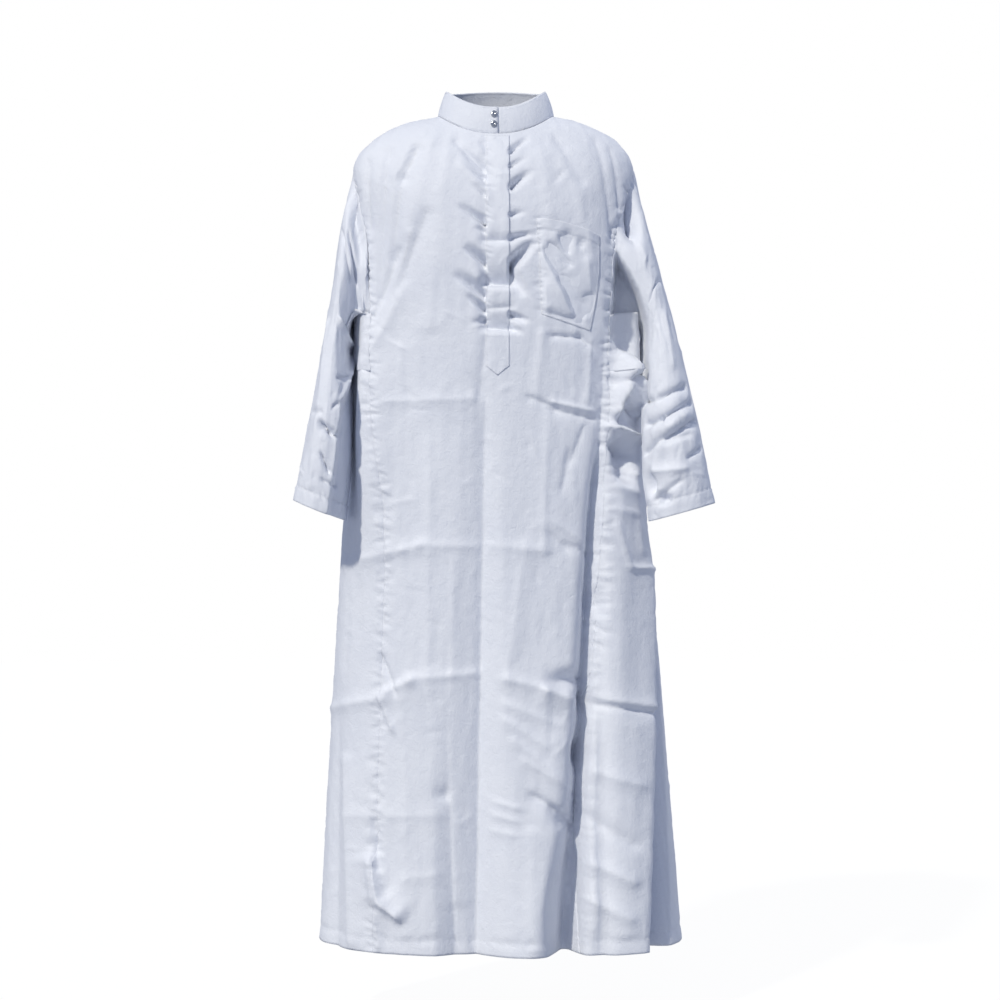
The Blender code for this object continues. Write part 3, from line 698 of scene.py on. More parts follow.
def wave_height(across, up, seed):
    """Faint soft unevenness of the cloth, from many long waves in all directions."""
    draw = np.random.default_rng(seed)
    across, up = np.broadcast_arrays(across, up)
    total = np.zeros(across.shape)
    for _ in range(WAVES):
        length = math.exp(draw.uniform(math.log(WAVE_LENGTHS[0]), math.log(WAVE_LENGTHS[1])))
        turn, phase = draw.uniform(0, math.pi), draw.uniform(0, 2 * math.pi)
        stretch = across * math.cos(turn) * 1.4 + up * math.sin(turn) * 0.6
        height = WAVE_SLOPE * length / (2 * math.pi) / math.sqrt(WAVES / 8)
        total += height * np.sin(2 * math.pi * stretch / length + phase)
    return total


def seam_angle(name, level):
    """The angle of a lengthwise seam."""
    level = np.asarray(level, float)
    if name == "side_plus":
        return np.zeros(level.shape)
    if name == "side_minus":
        return np.full(level.shape, -180.0)
    column = {"front_minus": "seam_minus", "front_plus": "seam_plus"}.get(name, "back_seam")
    share = np.clip(by_name(RING_COLUMNS, smooth_row(RINGS, level))[column], 0, 1)
    share = np.where(level <= SHOULDER_END, 1.0, share)
    off_side = np.degrees(np.arccos(share ** (SQUARENESS / 2)))
    return {
        "front_plus": -off_side,
        "front_minus": off_side - 180,
        "back_plus": off_side,
        "back_minus": 180 - off_side,
    }[name]


SEAM_LEVELS = np.linspace(SHOULDER_END, HEM_LEVEL, 600)


def seam_line(name):
    """(z, round) along a lengthwise seam, from the hem up."""
    angles = seam_angle(name, SEAM_LEVELS)
    z = plain_body(angles, SEAM_LEVELS)[..., 2]
    return z[::-1], round_distance(angles, SEAM_LEVELS)[::-1]


SEAM_LINES = {name: seam_line(name) for name in SEAM_PUCKERS}


def pucker_row(draw, round_at, z, reach, depth, lean):
    """One pucker across a seam that runs down."""
    minus, plus = reach * draw.uniform(0.4, 1.5, 2)
    slope = lean + draw.uniform(-0.5, 0.5)
    width = draw.uniform(0.0020, 0.0036)
    height = -depth * draw.uniform(0.45, 1.5)
    start = (round_at - minus, z + slope * minus)
    return (*start, round_at + plus, z - slope * plus, height, width, width * 1.5)


def down_puckers(draw, line, top, bottom, size, lean=0.0):
    """Puckers along a seam that runs down, given as (z upwards, round)."""
    spacing, reach, depth = size
    made = []
    z = top
    while z > bottom:
        round_at = float(np.interp(z, line[0], line[1]))
        made.append(pucker_row(draw, round_at, z, reach, depth, lean))
        z -= spacing * draw.uniform(0.6, 1.5)
    return made


def across_puckers(draw, z_at, start, end, size, lean=0.5):
    """Small slanting puckers along a stitched line that runs round the body at a height z_at(round)."""
    spacing, reach, depth = size
    made = []
    place = start
    while place < end:
        up, down = reach * draw.uniform(0.4, 1.3, 2)
        slope = lean + draw.uniform(-0.5, 0.5)
        width = draw.uniform(0.0022, 0.0038)
        z = z_at(place)
        height = -depth * draw.uniform(0.4, 1.4)
        made.append((place - slope * up, z + up, place + slope * down, z - down, height, width, width * 1.5))
        place += spacing * draw.uniform(0.6, 1.6)
    return made


HEM_LINE_ANGLES = np.linspace(-270, 90, 361)
HEM_LINE_ROUND = round_distance(HEM_LINE_ANGLES, HEM_LEVEL)
HEM_LINE_Z = plain_body(HEM_LINE_ANGLES, HEM_LEVEL)[..., 2]


def hem_z(place):
    return np.interp(place, HEM_LINE_ROUND, HEM_LINE_Z)


def all_puckers():
    draw = np.random.default_rng(SEED)
    made = []
    for name, size in SEAM_PUCKERS.items():
        top = SIDE_TOP_Z if name.startswith("side") else SEAM_TOP_Z
        made += down_puckers(draw, SEAM_LINES[name], top, SEAM_END_Z, size, SEAM_LEAN)
    stitched = (np.array([-1.0, 0.0]), np.full(2, PLACKET_X[0]))
    top, bottom = PLACKET_TOP_Z - 0.001, PLACKET_STITCH_Z - 0.001
    made += down_puckers(draw, stitched, top, bottom, PLACKET_PUCKERS, PLACKET_LEAN)
    made += across_puckers(draw, lambda place: hem_z(place) + HEM_DEPTH, *HEM_REACH, HEM_PUCKERS)
    (top_x, top_z), _, (bottom_x, bottom_z), _ = POCKET_CORNERS
    inner = (np.array([bottom_z, top_z]), np.array([bottom_x, top_x]))
    made += down_puckers(draw, inner, top_z, bottom_z, POCKET_PUCKERS)
    return made


def crumples(draw, count, across, up):
    """Small creases scattered over the cloth, most of them aslant."""
    made = []
    for _ in range(count):
        a, u = draw.uniform(*across), draw.uniform(*up)
        turn, length = draw.normal(0.9, 0.6) * draw.choice([-1, 1]), draw.uniform(0.010, 0.045)
        da, du = length / 2 * math.cos(turn), length / 2 * math.sin(turn)
        height = draw.uniform(0.0003, 0.0011) * draw.choice([-1, 1])
        width = draw.uniform(0.0022, 0.0045)
        made.append((a - da, u - du, a + da, u + du, height, width, width * draw.uniform(1, 2)))
    return made


BODY_CREASES = in_metres(CREASES, CREASE_UNITS) + all_puckers() + crumples(
    np.random.default_rng(SEED + 9), CRUMPLES, (-0.93, 0.90), (-1.41, -0.06)
)
BODY_PULLS = in_metres(PULLS, CREASE_UNITS)
BODY_DENTS = in_metres(DENTS, DENT_UNITS)


def body_relief(angle, level):
    """How far the relief moves the cloth of the body out of its plain form."""
    z = plain_body(angle, level)[..., 2]
    place = round_distance(angle, level)
    total = fold_height(place, z) + crease_height(place, z, BODY_CREASES) + dent_height(place, z, BODY_DENTS)
    beside = smooth((np.abs(place - sum(PLACKET_X) / 2) - PULL_CLEAR) / PULL_FADE)
    total += crease_height(place, z, BODY_PULLS, taper=True) * beside + wave_height(place, z, SEED)
    for name, (line_z, line_round) in SEAM_LINES.items():
        off = place - np.interp(z, line_z, line_round)
        top = SIDE_GROOVE_TOP_Z if name.startswith("side") else GROOVE_TOP_Z
        total -= SEAM_GROOVE * np.exp(-((off / SEAM_GROOVE_WIDTH) ** 2)) * (z < top)
    from_hem = z - hem_z(place)
    total += HEM_STEP * smooth((HEM_DEPTH - from_hem) / HEM_STEP_WIDTH)
    total -= HEM_GROOVE * np.exp(-(((from_hem - HEM_DEPTH) / HEM_GROOVE_WIDTH) ** 2))
    neck = smooth(np.asarray(level, float) / NECK_FADE)
    return total * neck


def body(angle, level, out=0.0):
    """A point of the draped body, moved out by a distance."""
    angle, level = np.broadcast_arrays(np.asarray(angle, float), np.asarray(level, float))
    lift = body_relief(angle, level) + out
    return plain_body(angle, level) + body_normal(angle, level) * lift[..., None]


def front_angle(x, level):
    """The angle of the front's point that lies at x."""
    at = by_name(RING_COLUMNS, smooth_row(RINGS, level))
    share = np.abs(x) / np.where(x > 0, at["plus_x"], -at["minus_x"])
    return -90 + np.sign(x) * np.degrees(np.arcsin(np.clip(share, 0, 1) ** (SQUARENESS / 2)))


def front_place(x, z):
    """(angle, level) of the front's points at x and z."""
    x, z = np.broadcast_arrays(np.asarray(x, float), np.asarray(z, float))
    low, high = np.zeros(x.shape), np.full(x.shape, float(HEM_LEVEL))
    for _ in range(30):
        level = (low + high) / 2
        above = plain_body(front_angle(x, level), level)[..., 2] > z
        low, high = np.where(above, level, low), np.where(above, high, level)
    return front_angle(x, level), level


def sleeve_section(side, turn, level):
    """A point of the plain sleeve: turn is 0 at its outer edge, 90 at its front, 180 at its inner edge."""
    at = by_name(SLEEVE_COLUMNS, smooth_row(SLEEVES[side], level))
    cos, sin = np.cos(np.radians(turn)), np.sin(np.radians(turn))
    x = (at["outer_x"] + at["inner_x"]) / 2 + (at["outer_x"] - at["inner_x"]) / 2 * cos
    z = (at["outer_z"] + at["inner_z"]) / 2 + (at["outer_z"] - at["inner_z"]) / 2 * cos
    y = at["middle_y"] - at["half_depth"] * sin
    return np.stack(np.broadcast_arrays(x, y, z), axis=-1)


def side_angles(side, level):
    """The angles of a side's front seam and back seam, counted over that side."""
    over = 360 if side == "minus" else 0
    return seam_angle("front_" + side, level), seam_angle("back_" + side, level) - over


def armhole_place(side, turn):
    """(angle, level) on the body of the sleeve's edge at a turn round it."""
    start, end = UNDERARM_ARC
    turn = np.asarray(turn, float) % 360
    up = np.where(turn < 180, turn / start, (360 - turn) / (360 - end))
    level = SHOULDER_END + (UNDERARM - SHOULDER_END) * np.clip(up, 0, 1) ** ARMHOLE_CURVE
    front, back = side_angles(side, level)
    return front + (back - front) * np.clip((turn - start) / (end - start), 0, 1), level


def plain_sleeve(side, turn, level):
    """A point of the sleeve, which leaves the armhole's edge and turns into its own round form."""
    turn, level = np.broadcast_arrays(np.asarray(turn, float), np.asarray(level, float))
    fade = np.clip(1 - level / JOIN_LEVELS, 0, 1) ** 2
    join = plain_body(*armhole_place(side, turn)) - sleeve_section(side, turn, np.zeros(turn.shape))
    return sleeve_section(side, turn, level) + fade[..., None] * join


def sleeve_normal(side, turn, level):
    level = np.maximum(level, 0.03)
    round_way = plain_sleeve(side, turn + 1, level) - plain_sleeve(side, turn - 1, level)
    down_way = plain_sleeve(side, turn, level + 0.02) - plain_sleeve(side, turn, level - 0.02)
    normal = unit(np.cross(down_way, round_way))
    return -normal if side == "plus" else normal


def sleeve_puckers(side):
    """Puckers of the armhole seam, on the sleeve, and of the cuff's stitched line."""
    draw = np.random.default_rng(SEED + (1 if side == "plus" else 2))
    made = []
    turn = SLEEVE_TURNS[0]
    while turn < SLEEVE_TURNS[1]:
        reach, width = draw.uniform(0.08, 0.26), draw.uniform(0.0022, 0.0036)
        lean = draw.uniform(-5, 5)
        height = -ARMHOLE_PUCKERS[2] * draw.uniform(0.4, 1.5)
        made.append((turn, -0.02, turn + lean, reach, height, width, width))
        turn += math.degrees(ARMHOLE_PUCKERS[0] / SLEEVE_RADIUS) * draw.uniform(0.6, 1.6)
    turn = SLEEVE_TURNS[0]
    stitched = CUFF_LEVEL - CUFF_HEM
    while turn < SLEEVE_TURNS[1]:
        lean = draw.uniform(2, 8)
        height = -CUFF_PUCKERS[1] * draw.uniform(0.4, 1.5)
        made.append((turn - lean, stitched - 0.09, turn + lean, stitched + 0.09, height, 0.0025, 0.0035))
        turn += math.degrees(CUFF_PUCKERS[0] / SLEEVE_RADIUS) * draw.uniform(0.7, 1.6)
    return made


def on_sleeve_cloth(turn, level):
    """Places on the sleeve as distances across and up its cloth."""
    return np.radians(turn) * SLEEVE_RADIUS, -np.asarray(level, float) * SLEEVE_STEP


def sleeve_features(side):
    """The creases and dents of a sleeve, as distances across and up its cloth."""
    rows = in_metres(SLEEVE_CREASES[side], SLEEVE_CREASE_UNITS) + sleeve_puckers(side)
    creases = [
        (*on_sleeve_cloth(turn, level), *on_sleeve_cloth(end_turn, end_level), *size)
        for turn, level, end_turn, end_level, *size in rows
    ]
    dents = [
        (*on_sleeve_cloth(turn, level), *size)
        for turn, level, *size in in_metres(SLEEVE_DENTS[side], SLEEVE_DENT_UNITS)
    ]
    draw = np.random.default_rng(SEED + (11 if side == "plus" else 12))
    across = (math.radians(-110) * SLEEVE_RADIUS, math.radians(230) * SLEEVE_RADIUS)
    return creases + crumples(draw, SLEEVE_CRUMPLES, across, (-CUFF_LEVEL * SLEEVE_STEP, -0.02)), dents


SLEEVE_FEATURES = {side: sleeve_features(side) for side in SLEEVES}


def hollow_depth(turn, level):
    """How far back the cloth of the deep hollow under the arm lies. The hollow ends at a sharp edge."""
    past = turn - np.interp(level, HOLLOW_LEVELS, HOLLOW_TURNS)
    inside = smooth(past / HOLLOW_WALL) * smooth((HOLLOW_BACK - turn) / HOLLOW_BACK_FADE)
    depth = np.interp(turn, *zip(HOLLOW_DEEP, HOLLOW_SHALLOW))
    return depth * inside * smooth((HOLLOW_END - level) / HOLLOW_END_FADE) * smooth(level / HOLLOW_TOP_FADE)


def edge_depth(turn, level):
    """How far back the cloth lies past the sharp stitched edge down the sleeve."""
    past = np.radians(turn - np.interp(level, EDGE_LEVELS, EDGE_TURNS)) * SLEEVE_RADIUS / EDGE_WIDTH
    back = smooth((EDGE_BACK - turn) / EDGE_BACK_FADE)
    return EDGE_DEPTH * smooth(past) * back * smooth((level - EDGE_LEVELS[0]) / EDGE_TOP_FADE)


def sleeve_relief(side, turn, level):
    turn = (np.asarray(turn, float) + 120) % 360 - 120
    across, up = on_sleeve_cloth(turn, level)
    creases, dents = SLEEVE_FEATURES[side]
    total = crease_height(across, up, creases) + dent_height(across, up, dents)
    total += wave_height(across, up, SEED + 3) * smooth((turn + 120) / 25) * smooth((240 - turn) / 25)
    from_hem = (CUFF_LEVEL - CUFF_HEM - level) * SLEEVE_STEP
    total -= HEM_GROOVE * np.exp(-((from_hem / HEM_GROOVE_WIDTH) ** 2))
    total += HEM_STEP * smooth(-from_hem / HEM_STEP_WIDTH)
    total *= smooth(level / ARMHOLE_FADE)
    return total - SEAM_GROOVE * np.exp(-((level * SLEEVE_STEP / SEAM_GROOVE_WIDTH) ** 2))


def sleeve(side, turn, level, out=0.0):
    turn, level = np.broadcast_arrays(np.asarray(turn, float), np.asarray(level, float))
    lift = sleeve_relief(side, turn, level) + out
    angle, body_level = armhole_place(side, turn)
    edge = body_relief(angle, body_level) + SEAM_GROOVE
    fade = smooth(1 - level / 0.5)
    moved = body_normal(angle, body_level) * (edge * fade)[..., None]
    moved[..., 1] += hollow_depth(turn, level) if side == "plus" else edge_depth(turn, level)
    return plain_sleeve(side, turn, level) + sleeve_normal(side, turn, level) * lift[..., None] + moved


def collar_point(angle, height, out=0.0):
    """A point of the collar, from its base at height 0 to its top edge at 1."""
    base, top = RINGS[0, :7], np.array(COLLAR_TOP)
    height = np.asarray(height, float)
    point = ring_point(base + (top - base) * height[..., None], angle)
    out = out + COLLAR_BULGE * np.sin(np.pi * height)
    return point + away_from_neck(angle) * np.asarray(out)[..., None]


def spread(count, peaks):
    """count + 1 values from 0 to 1, closer together round each peak (place, width, how much)."""
    fine = np.linspace(0, 1, 4001)
    density = np.ones(fine.shape)
    for place, width, more in peaks:
        density += more * np.exp(-(((fine - place) / width) ** 2))
    total = np.concatenate([[0], np.cumsum((density[1:] + density[:-1]) / 2)])
    return np.interp(np.linspace(0, total[-1], count + 1), total, fine)


def level_rows(start, end, count, angle, upper=0.0):
    """Levels from start to end, evenly spaced down the cloth, with upper more of them in the upper part."""
    fine = np.linspace(start, end, 2001)
    points = plain_body(np.full(fine.shape, angle), fine)
    length = np.linalg.norm(np.diff(points, axis=0), axis=-1)
    length = length * (1 + upper * smooth((points[1:, 2] - UPPER_END_Z) / UPPER_FADE))
    total = np.concatenate([[0], np.cumsum(length)])
    return np.interp(np.linspace(0, total[-1], count + 1), total, fine)


def between(start, end, shares):
    return np.asarray(start)[..., None] * (1 - shares) + np.asarray(end)[..., None] * shares


def lengths_down(points):
    """How far each point is from its row's or column's start, along the cloth, averaged over the sheet."""
    steps = np.linalg.norm(np.diff(points, axis=0), axis=-1).mean(axis=1)
    return np.concatenate([[0], np.cumsum(steps)])


def place_object(name, data, *materials):
    """Puts a mesh, lamp or camera in the scene."""
    for material in materials:
        data.materials.append(material)
    made = bpy.data.objects.new(name, data)
    bpy.context.scene.collection.objects.link(made)
    return made


def cloth_piece(node, points, material, closed=False, thickness=CLOTH, leave_out=None):
    """A thin sheet through rows of points in place of a CAD solid, its outer side facing out.

    Its UV map is the cloth's own, in metres.
    """
    if closed:
        points = np.concatenate([points, points[:, :1]], axis=1)
    rows, columns = points.shape[:2]
    index = np.arange(rows * columns).reshape(rows, columns)
    quads = np.stack([index[:-1, :-1], index[1:, :-1], index[1:, 1:], index[:-1, 1:]], axis=-1)
    quads = (quads if leave_out is None else quads[~leave_out]).reshape(-1, 4)
    down, across = lengths_down(points), lengths_down(points.transpose(1, 0, 2))
    grid = np.stack(np.meshgrid(across, down), axis=-1).reshape(-1, 2)
    if closed:
        index[:, -1] = index[:, 0]
    used, faces = np.unique(index.reshape(-1)[quads], return_inverse=True)
    mesh = bpy.data.meshes.new(node + "_cloth")
    mesh.from_pydata(points.reshape(-1, 3)[used].tolist(), [], faces.reshape(-1, 4).tolist())
    corners = grid[quads.reshape(-1)].astype(np.float32).reshape(-1)
    mesh.uv_layers.new(name="cloth").data.foreach_set("uv", corners)
    mesh.validate()
    mesh.shade_smooth()
    made = place_object(node + "_cloth", mesh, material)
    wall = made.modifiers.new("Cloth", "SOLIDIFY")
    wall.thickness = thickness
    wall.offset = -1
    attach(made, ROOT)
    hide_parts(node)


def lap(edge, inner, others_down, at_start):
    """The points of a seam allowance beside an edge: further out along the cloth and under the next piece."""
    away = unit(edge - inner)
    along = np.gradient(edge, axis=0)
    right = (-away if at_start else away) if others_down else along
    down = along if others_down else (-away if at_start else away)
    return edge + away * ALLOWANCE - unit(np.cross(down, right)) * ALLOWANCE_DEPTH


def with_allowance(points, sides):
    """Adds a seam allowance on the named sides of a sheet: top, bottom, first and last."""
    if "top" in sides:
        points = np.concatenate([lap(points[0], points[1], False, True)[None], points])
    if "bottom" in sides:
        points = np.concatenate([points, lap(points[-1], points[-2], False, False)[None]])
    if "first" in sides:
        points = np.concatenate([lap(points[:, 0], points[:, 1], True, True)[:, None], points], axis=1)
    if "last" in sides:
        points = np.concatenate([points, lap(points[:, -1], points[:, -2], True, False)[:, None]], axis=1)
    return points


def add(tree, kind, feeds=None, **inputs):
    """A shader node with its constant inputs and, in feeds, the outputs linked to its other inputs."""
    node = tree.nodes.new(kind)
    for name, value in inputs.items():
        node.inputs[name.replace("_", " ")].default_value = value
    for name, output in (feeds or {}).items():
        tree.links.new(output, node.inputs[name])
    return node


def new_material(name, **inputs):
    """(material, node tree, shader, object coordinates) with the shader's constant inputs set."""
    made = bpy.data.materials.new(name)
    made.use_nodes = True
    tree = made.node_tree
    shader = tree.nodes["Principled BSDF"]
    for setting, value in inputs.items():
        shader.inputs[setting.replace("_", " ")].default_value = value
    return made, tree, shader, tree.nodes.new("ShaderNodeTexCoord").outputs["Object"]


def mix_colours(tree, shader, share, first, second):
    """Colours the shader between two colours by a share."""
    colours = tree.nodes.new("ShaderNodeMix")
    colours.data_type = "RGBA"
    colours.inputs["A"].default_value = first
    colours.inputs["B"].default_value = second
    tree.links.new(share, colours.inputs["Factor"])
    tree.links.new(colours.outputs["Result"], shader.inputs["Base Color"])


def add_bump(tree, height, strength, distance, below=None):
    """The normal of a bump, on top of the one below it."""
    feeds = {"Height": height} if below is None else {"Height": height, "Normal": below}
    return add(tree, "ShaderNodeBump", feeds, Strength=strength, Distance=distance).outputs["Normal"]


def cloth_material(name, light, dark, roughness, sheen):
    """Plain-woven cotton and polyester cloth: finely woven, softly shining, faintly uneven and crumpled."""
    made, tree, shader, place = new_material(
        name, Roughness=roughness, Sheen_Weight=sheen, Sheen_Roughness=0.42, Specular_IOR_Level=0.34
    )
    cloud = add(tree, "ShaderNodeTexNoise", {"Vector": place}, Scale=9.0, Detail=4.0, Roughness=0.6)
    spans = add(tree, "ShaderNodeMapRange", {"Value": cloud.outputs["Fac"]}, From_Min=0.32, From_Max=0.62)
    mix_colours(tree, shader, spans.outputs["Result"], dark, light)
    threads = tree.nodes.new("ShaderNodeUVMap")
    threads.uv_map = "cloth"
    along = {"Vector": threads.outputs["UV"]}
    crossing = tree.nodes.new("ShaderNodeMath")
    crossing.operation = "MULTIPLY"
    for direction, socket in zip("XY", crossing.inputs):
        wave = add(tree, "ShaderNodeTexWave", along, Scale=180.0, Distortion=1.2, Detail=2.0)
        wave.bands_direction = direction
        tree.links.new(wave.outputs["Fac"], socket)
    normal = add_bump(tree, crossing.outputs["Value"], 0.5, 0.00014)
    stretch = add(tree, "ShaderNodeMapping", along, Scale=(1.0, 0.16, 1.0))
    slub = add(tree, "ShaderNodeTexNoise", {"Vector": stretch.outputs["Vector"]},
               Scale=210.0, Detail=3.0, Roughness=0.6)
    normal = add_bump(tree, slub.outputs["Fac"], 0.5, 0.0008, normal)
    crumple = add(tree, "ShaderNodeTexNoise", {"Vector": place},
                  Scale=95.0, Detail=7.0, Roughness=0.68, Distortion=0.7)
    normal = add_bump(tree, crumple.outputs["Fac"], 0.6, 0.0022, normal)
    tree.links.new(normal, shader.inputs["Normal"])
    return made


def metal_material(name):
    made, tree, shader, place = new_material(name, Metallic=1.0)
    smudge = add(tree, "ShaderNodeTexNoise", {"Vector": place}, Scale=420.0, Detail=4.0).outputs["Fac"]
    dull = add(tree, "ShaderNodeMapRange", {"Value": smudge}, To_Min=0.16, To_Max=0.36)
    tree.links.new(dull.outputs["Result"], shader.inputs["Roughness"])
    mix_colours(tree, shader, smudge, METAL_DARK, METAL_LIGHT)
    tree.links.new(add_bump(tree, smudge, 0.1, 0.0001), shader.inputs["Normal"])
    return made


def make_panels(cloth):
    """The front and the back of the body, from neck to hem."""
    for node, (rows, columns), angle, upper, peaks, seams in (
        ("front_panel", FRONT_GRID, -60.0, 0.5, FRONT_PEAKS, ("front_minus", "front_plus")),
        ("back_panel", BACK_GRID, 60.0, 0.0, BACK_PEAKS, ("back_plus", "back_minus")),
    ):
        levels = level_rows(0, HEM_LEVEL, rows, angle, upper)
        start, end = (seam_angle(seam, levels) for seam in seams)
        cloth_piece(node, body(between(start, end, spread(columns, peaks)), levels[:, None]), cloth)


def make_gores(cloth):
    rows, columns = GORE_GRID
    levels = level_rows(GORE_TOP, HEM_LEVEL, rows, 0.0)
    shares = spread(columns, GORE_PEAKS)
    for side, name in SIDES:
        front, back = side_angles(side, levels)
        centre = np.full(levels.shape, -180.0 if side == "minus" else 0.0)
        for kind, start, end, spacing in (
            ("front", front, centre, shares), ("back", centre, back, 1 - shares[::-1]),
        ):
            angles = between(start, end, spacing)
            if side == "minus":
                angles = angles[:, ::-1]
            sides = {"first", "last"} if kind == "back" else {"first" if side == "plus" else "last"}
            points = with_allowance(body(angles, levels[:, None]), sides)
            cloth_piece(f"{kind}_gore_{name}", points, cloth)


def make_sleeves(cloth):
    """The sleeves, each a tube with a notch under the arm where the gusset goes."""
    rows, columns = SLEEVE_GRID
    start, end = UNDERARM_ARC
    notch_rows = round(rows * GUSSET_REACH / CUFF_LEVEL)
    levels = np.concatenate([
        np.linspace(0, GUSSET_REACH, notch_rows + 1)[:-1],
        np.linspace(GUSSET_REACH, CUFF_LEVEL, rows - notch_rows + 1),
    ])
    under = round(columns * (end - start) / 360)
    front = round(columns * start / 360)
    turns = np.concatenate([
        np.linspace(*arc, count + 1)[:-1]
        for *arc, count in ((0, start, front), (start, end, under), (end, 360, columns - front - under))
    ])
    hole = np.zeros((rows, columns), bool)
    hole[:notch_rows, front:front + under] = True
    hole = np.concatenate([hole[:1], hole])
    for side, name in SIDES:
        points = sleeve(side, turns[None, :], levels[:, None])
        if side == "plus":
            points = np.roll(points[:, ::-1], 1, axis=1)
        cloth_piece(f"sleeve_{name}", with_allowance(points, {"top"}), cloth, closed=True,
                    leave_out=hole[:, ::-1] if side == "plus" else hole)


def make_gussets(cloth):
    """The gussets, from the gores' tops over the armhole's lowest part to the sleeve's notch."""
    rows, columns = GUSSET_GRID
    shares = np.linspace(0, 1, columns + 1)
    turns = np.linspace(*UNDERARM_ARC, columns + 1)
    on_body_rows = rows // 2
    levels = np.linspace(GORE_TOP, UNDERARM, on_body_rows + 1)
    reach = np.linspace(0, GUSSET_REACH, rows - on_body_rows + 1)[1:]
    for side, name in SIDES:
        on_body = body(between(*side_angles(side, levels), shares), levels[:, None])
        points = np.concatenate([on_body, sleeve(side, turns[None, :], reach[:, None])])[::-1]
        if side == "plus":
            points = points[:, ::-1]
        cloth_piece(f"gusset_{name}", with_allowance(points, {"top", "bottom", "first", "last"}), cloth)


def away_from_neck(angles):
    """Level directions straight out from the neck."""
    return np.stack([np.cos(np.radians(angles)), np.sin(np.radians(angles)), np.zeros(np.shape(angles))], -1)


def collar_angles(count, trim_start=0.0, trim_end=0.0):
    """Angles round the collar, from its upper end at the front to its lower end."""
    start = float(front_angle(COLLAR_END_X, 0.0)) - trim_start
    end = float(front_angle(COLLAR_END_X - COLLAR_UNDERLAP, 0.0)) - 360 + trim_end
    return np.linspace(start, end, count)


def make_collar(cloth):
    """The stand collar: its end on the wearer's right lies over the other one at the front."""
    rows, columns = COLLAR_GRID
    angles = collar_angles(columns + 1)
    under = smooth((angles[0] - TUCK_START - angles) / TUCK_FADE)
    tuck = -(COLLAR_CLOTH + LAYER_GAP) * under
    heights = np.linspace(COLLAR_FOOT - 0.03, 1, rows + 1)
    edge = np.minimum(heights - heights[0], 1 - heights) * COLLAR_HEIGHT
    groove = -COLLAR_GROOVE * np.exp(-(((edge - EDGE_STITCH) / COLLAR_GROOVE_WIDTH) ** 2))
    rounding = -COLLAR_ROUNDING * np.exp(-((edge / COLLAR_GROOVE_WIDTH) ** 2))
    arc = np.radians(angles) * COLLAR_RADIUS
    soft = wave_height(arc[None, :], (heights * COLLAR_HEIGHT)[:, None], SEED + 5) * 0.4
    hollow = (arc + math.radians(56) * COLLAR_RADIUS) / 0.022
    soft = soft - 0.0035 * np.exp(-(hollow**2))[None, :]
    out = tuck[None, :] + (groove + rounding)[:, None] + soft
    points = collar_point(angles[None, :], heights[:, None], out)
    cloth_piece("collar_band", points[::-1, ::-1], cloth, thickness=COLLAR_CLOTH)


def placket_out(x, z):
    """How far the placket stands off the front. It is sewn on the wearer's right and free on the left."""
    across = (x - PLACKET_X[0]) / (PLACKET_X[1] - PLACKET_X[0])
    free = smooth((z - PLACKET_STITCH_Z) / 0.05) * smooth((PLACKET_TOP_Z - z) / 0.03)
    sewn = np.exp(-(((z - PLACKET_STITCH_Z) / 0.0016) ** 2))
    stitched_edge = np.exp(-(((across - 0.055) / 0.03) ** 2))
    lifted = PLACKET_LIFT * free * smooth(across * 1.2 - 0.2)
    return LAYER + lifted - 0.0006 * sewn - 0.0005 * stitched_edge


def make_placket(cloth):
    rows, columns = PLACKET_GRID
    across = np.linspace(0, 1, columns + 1)
    x = PLACKET_X[0] + (PLACKET_X[1] - PLACKET_X[0]) * across
    bottom = PLACKET_CORNER_Z + (PLACKET_TIP_Z - PLACKET_CORNER_Z) * (1 - np.abs(2 * across - 1))
    z = PLACKET_TOP_Z + (bottom - PLACKET_TOP_Z) * np.linspace(0, 1, rows + 1)[:, None]
    points = body(*front_place(x, z), placket_out(x[None, :], z))
    cloth_piece("placket", points, cloth, thickness=LAYER)


def pocket_place(across, down):
    """(x, z) of a place on the pocket: its top edge is a little arched and its outer edge bowed."""
    a, d = across[..., None], down[..., None]
    inner_top, outer_top, inner_bottom, outer_bottom = (np.array(corner) for corner in POCKET_CORNERS)
    place = (inner_top * (1 - a) + outer_top * a) * (1 - d) + (inner_bottom * (1 - a) + outer_bottom * a) * d
    arch = 4 * across * (1 - across) * POCKET_ARCH * (1 - down)
    bow = 4 * down * (1 - down) * POCKET_BOW * smooth(across)
    return place[..., 0] + bow, place[..., 1] + arch


def pocket_loose(from_edge):
    """How loose the pocket lies at a distance from its sewn edge, from 0 to 1."""
    return smooth(from_edge / POCKET_LOOSE_FROM)


def make_pocket(cloth):
    rows, columns = POCKET_GRID
    across, down = np.meshgrid(np.linspace(0, 1, columns + 1), np.linspace(0, 1, rows + 1))
    angle, level = front_place(*pocket_place(across, down))
    place, height = round_distance(angle, level), plain_body(angle, level)[..., 2]
    edge = np.minimum(np.minimum(across, 1 - across) * POCKET_WIDTH, (1 - down) * POCKET_LENGTH)
    own = crease_height(place, height, in_metres(POCKET_CREASES, CREASE_UNITS))
    own += dent_height(place, height, in_metres(POCKET_DENTS, DENT_UNITS))
    out = LAYER + LAYER_GAP + POCKET_EASE * pocket_loose(edge) + own * smooth(edge / 0.010)
    out += POCKET_HEM_STEP * smooth((0.105 - down) / 0.012)
    out += POCKET_GAPE * smooth((0.2 - down) / 0.2) * pocket_loose(edge)
    out -= POCKET_GROOVE * np.exp(-(((edge - EDGE_STITCH) / 0.0010) ** 2))
    out -= POCKET_GROOVE * np.exp(-(((down - POCKET_HEM) * POCKET_LENGTH / 0.0012) ** 2))
    cloth_piece("chest_pocket", body(angle, level, out), cloth, thickness=LAYER)


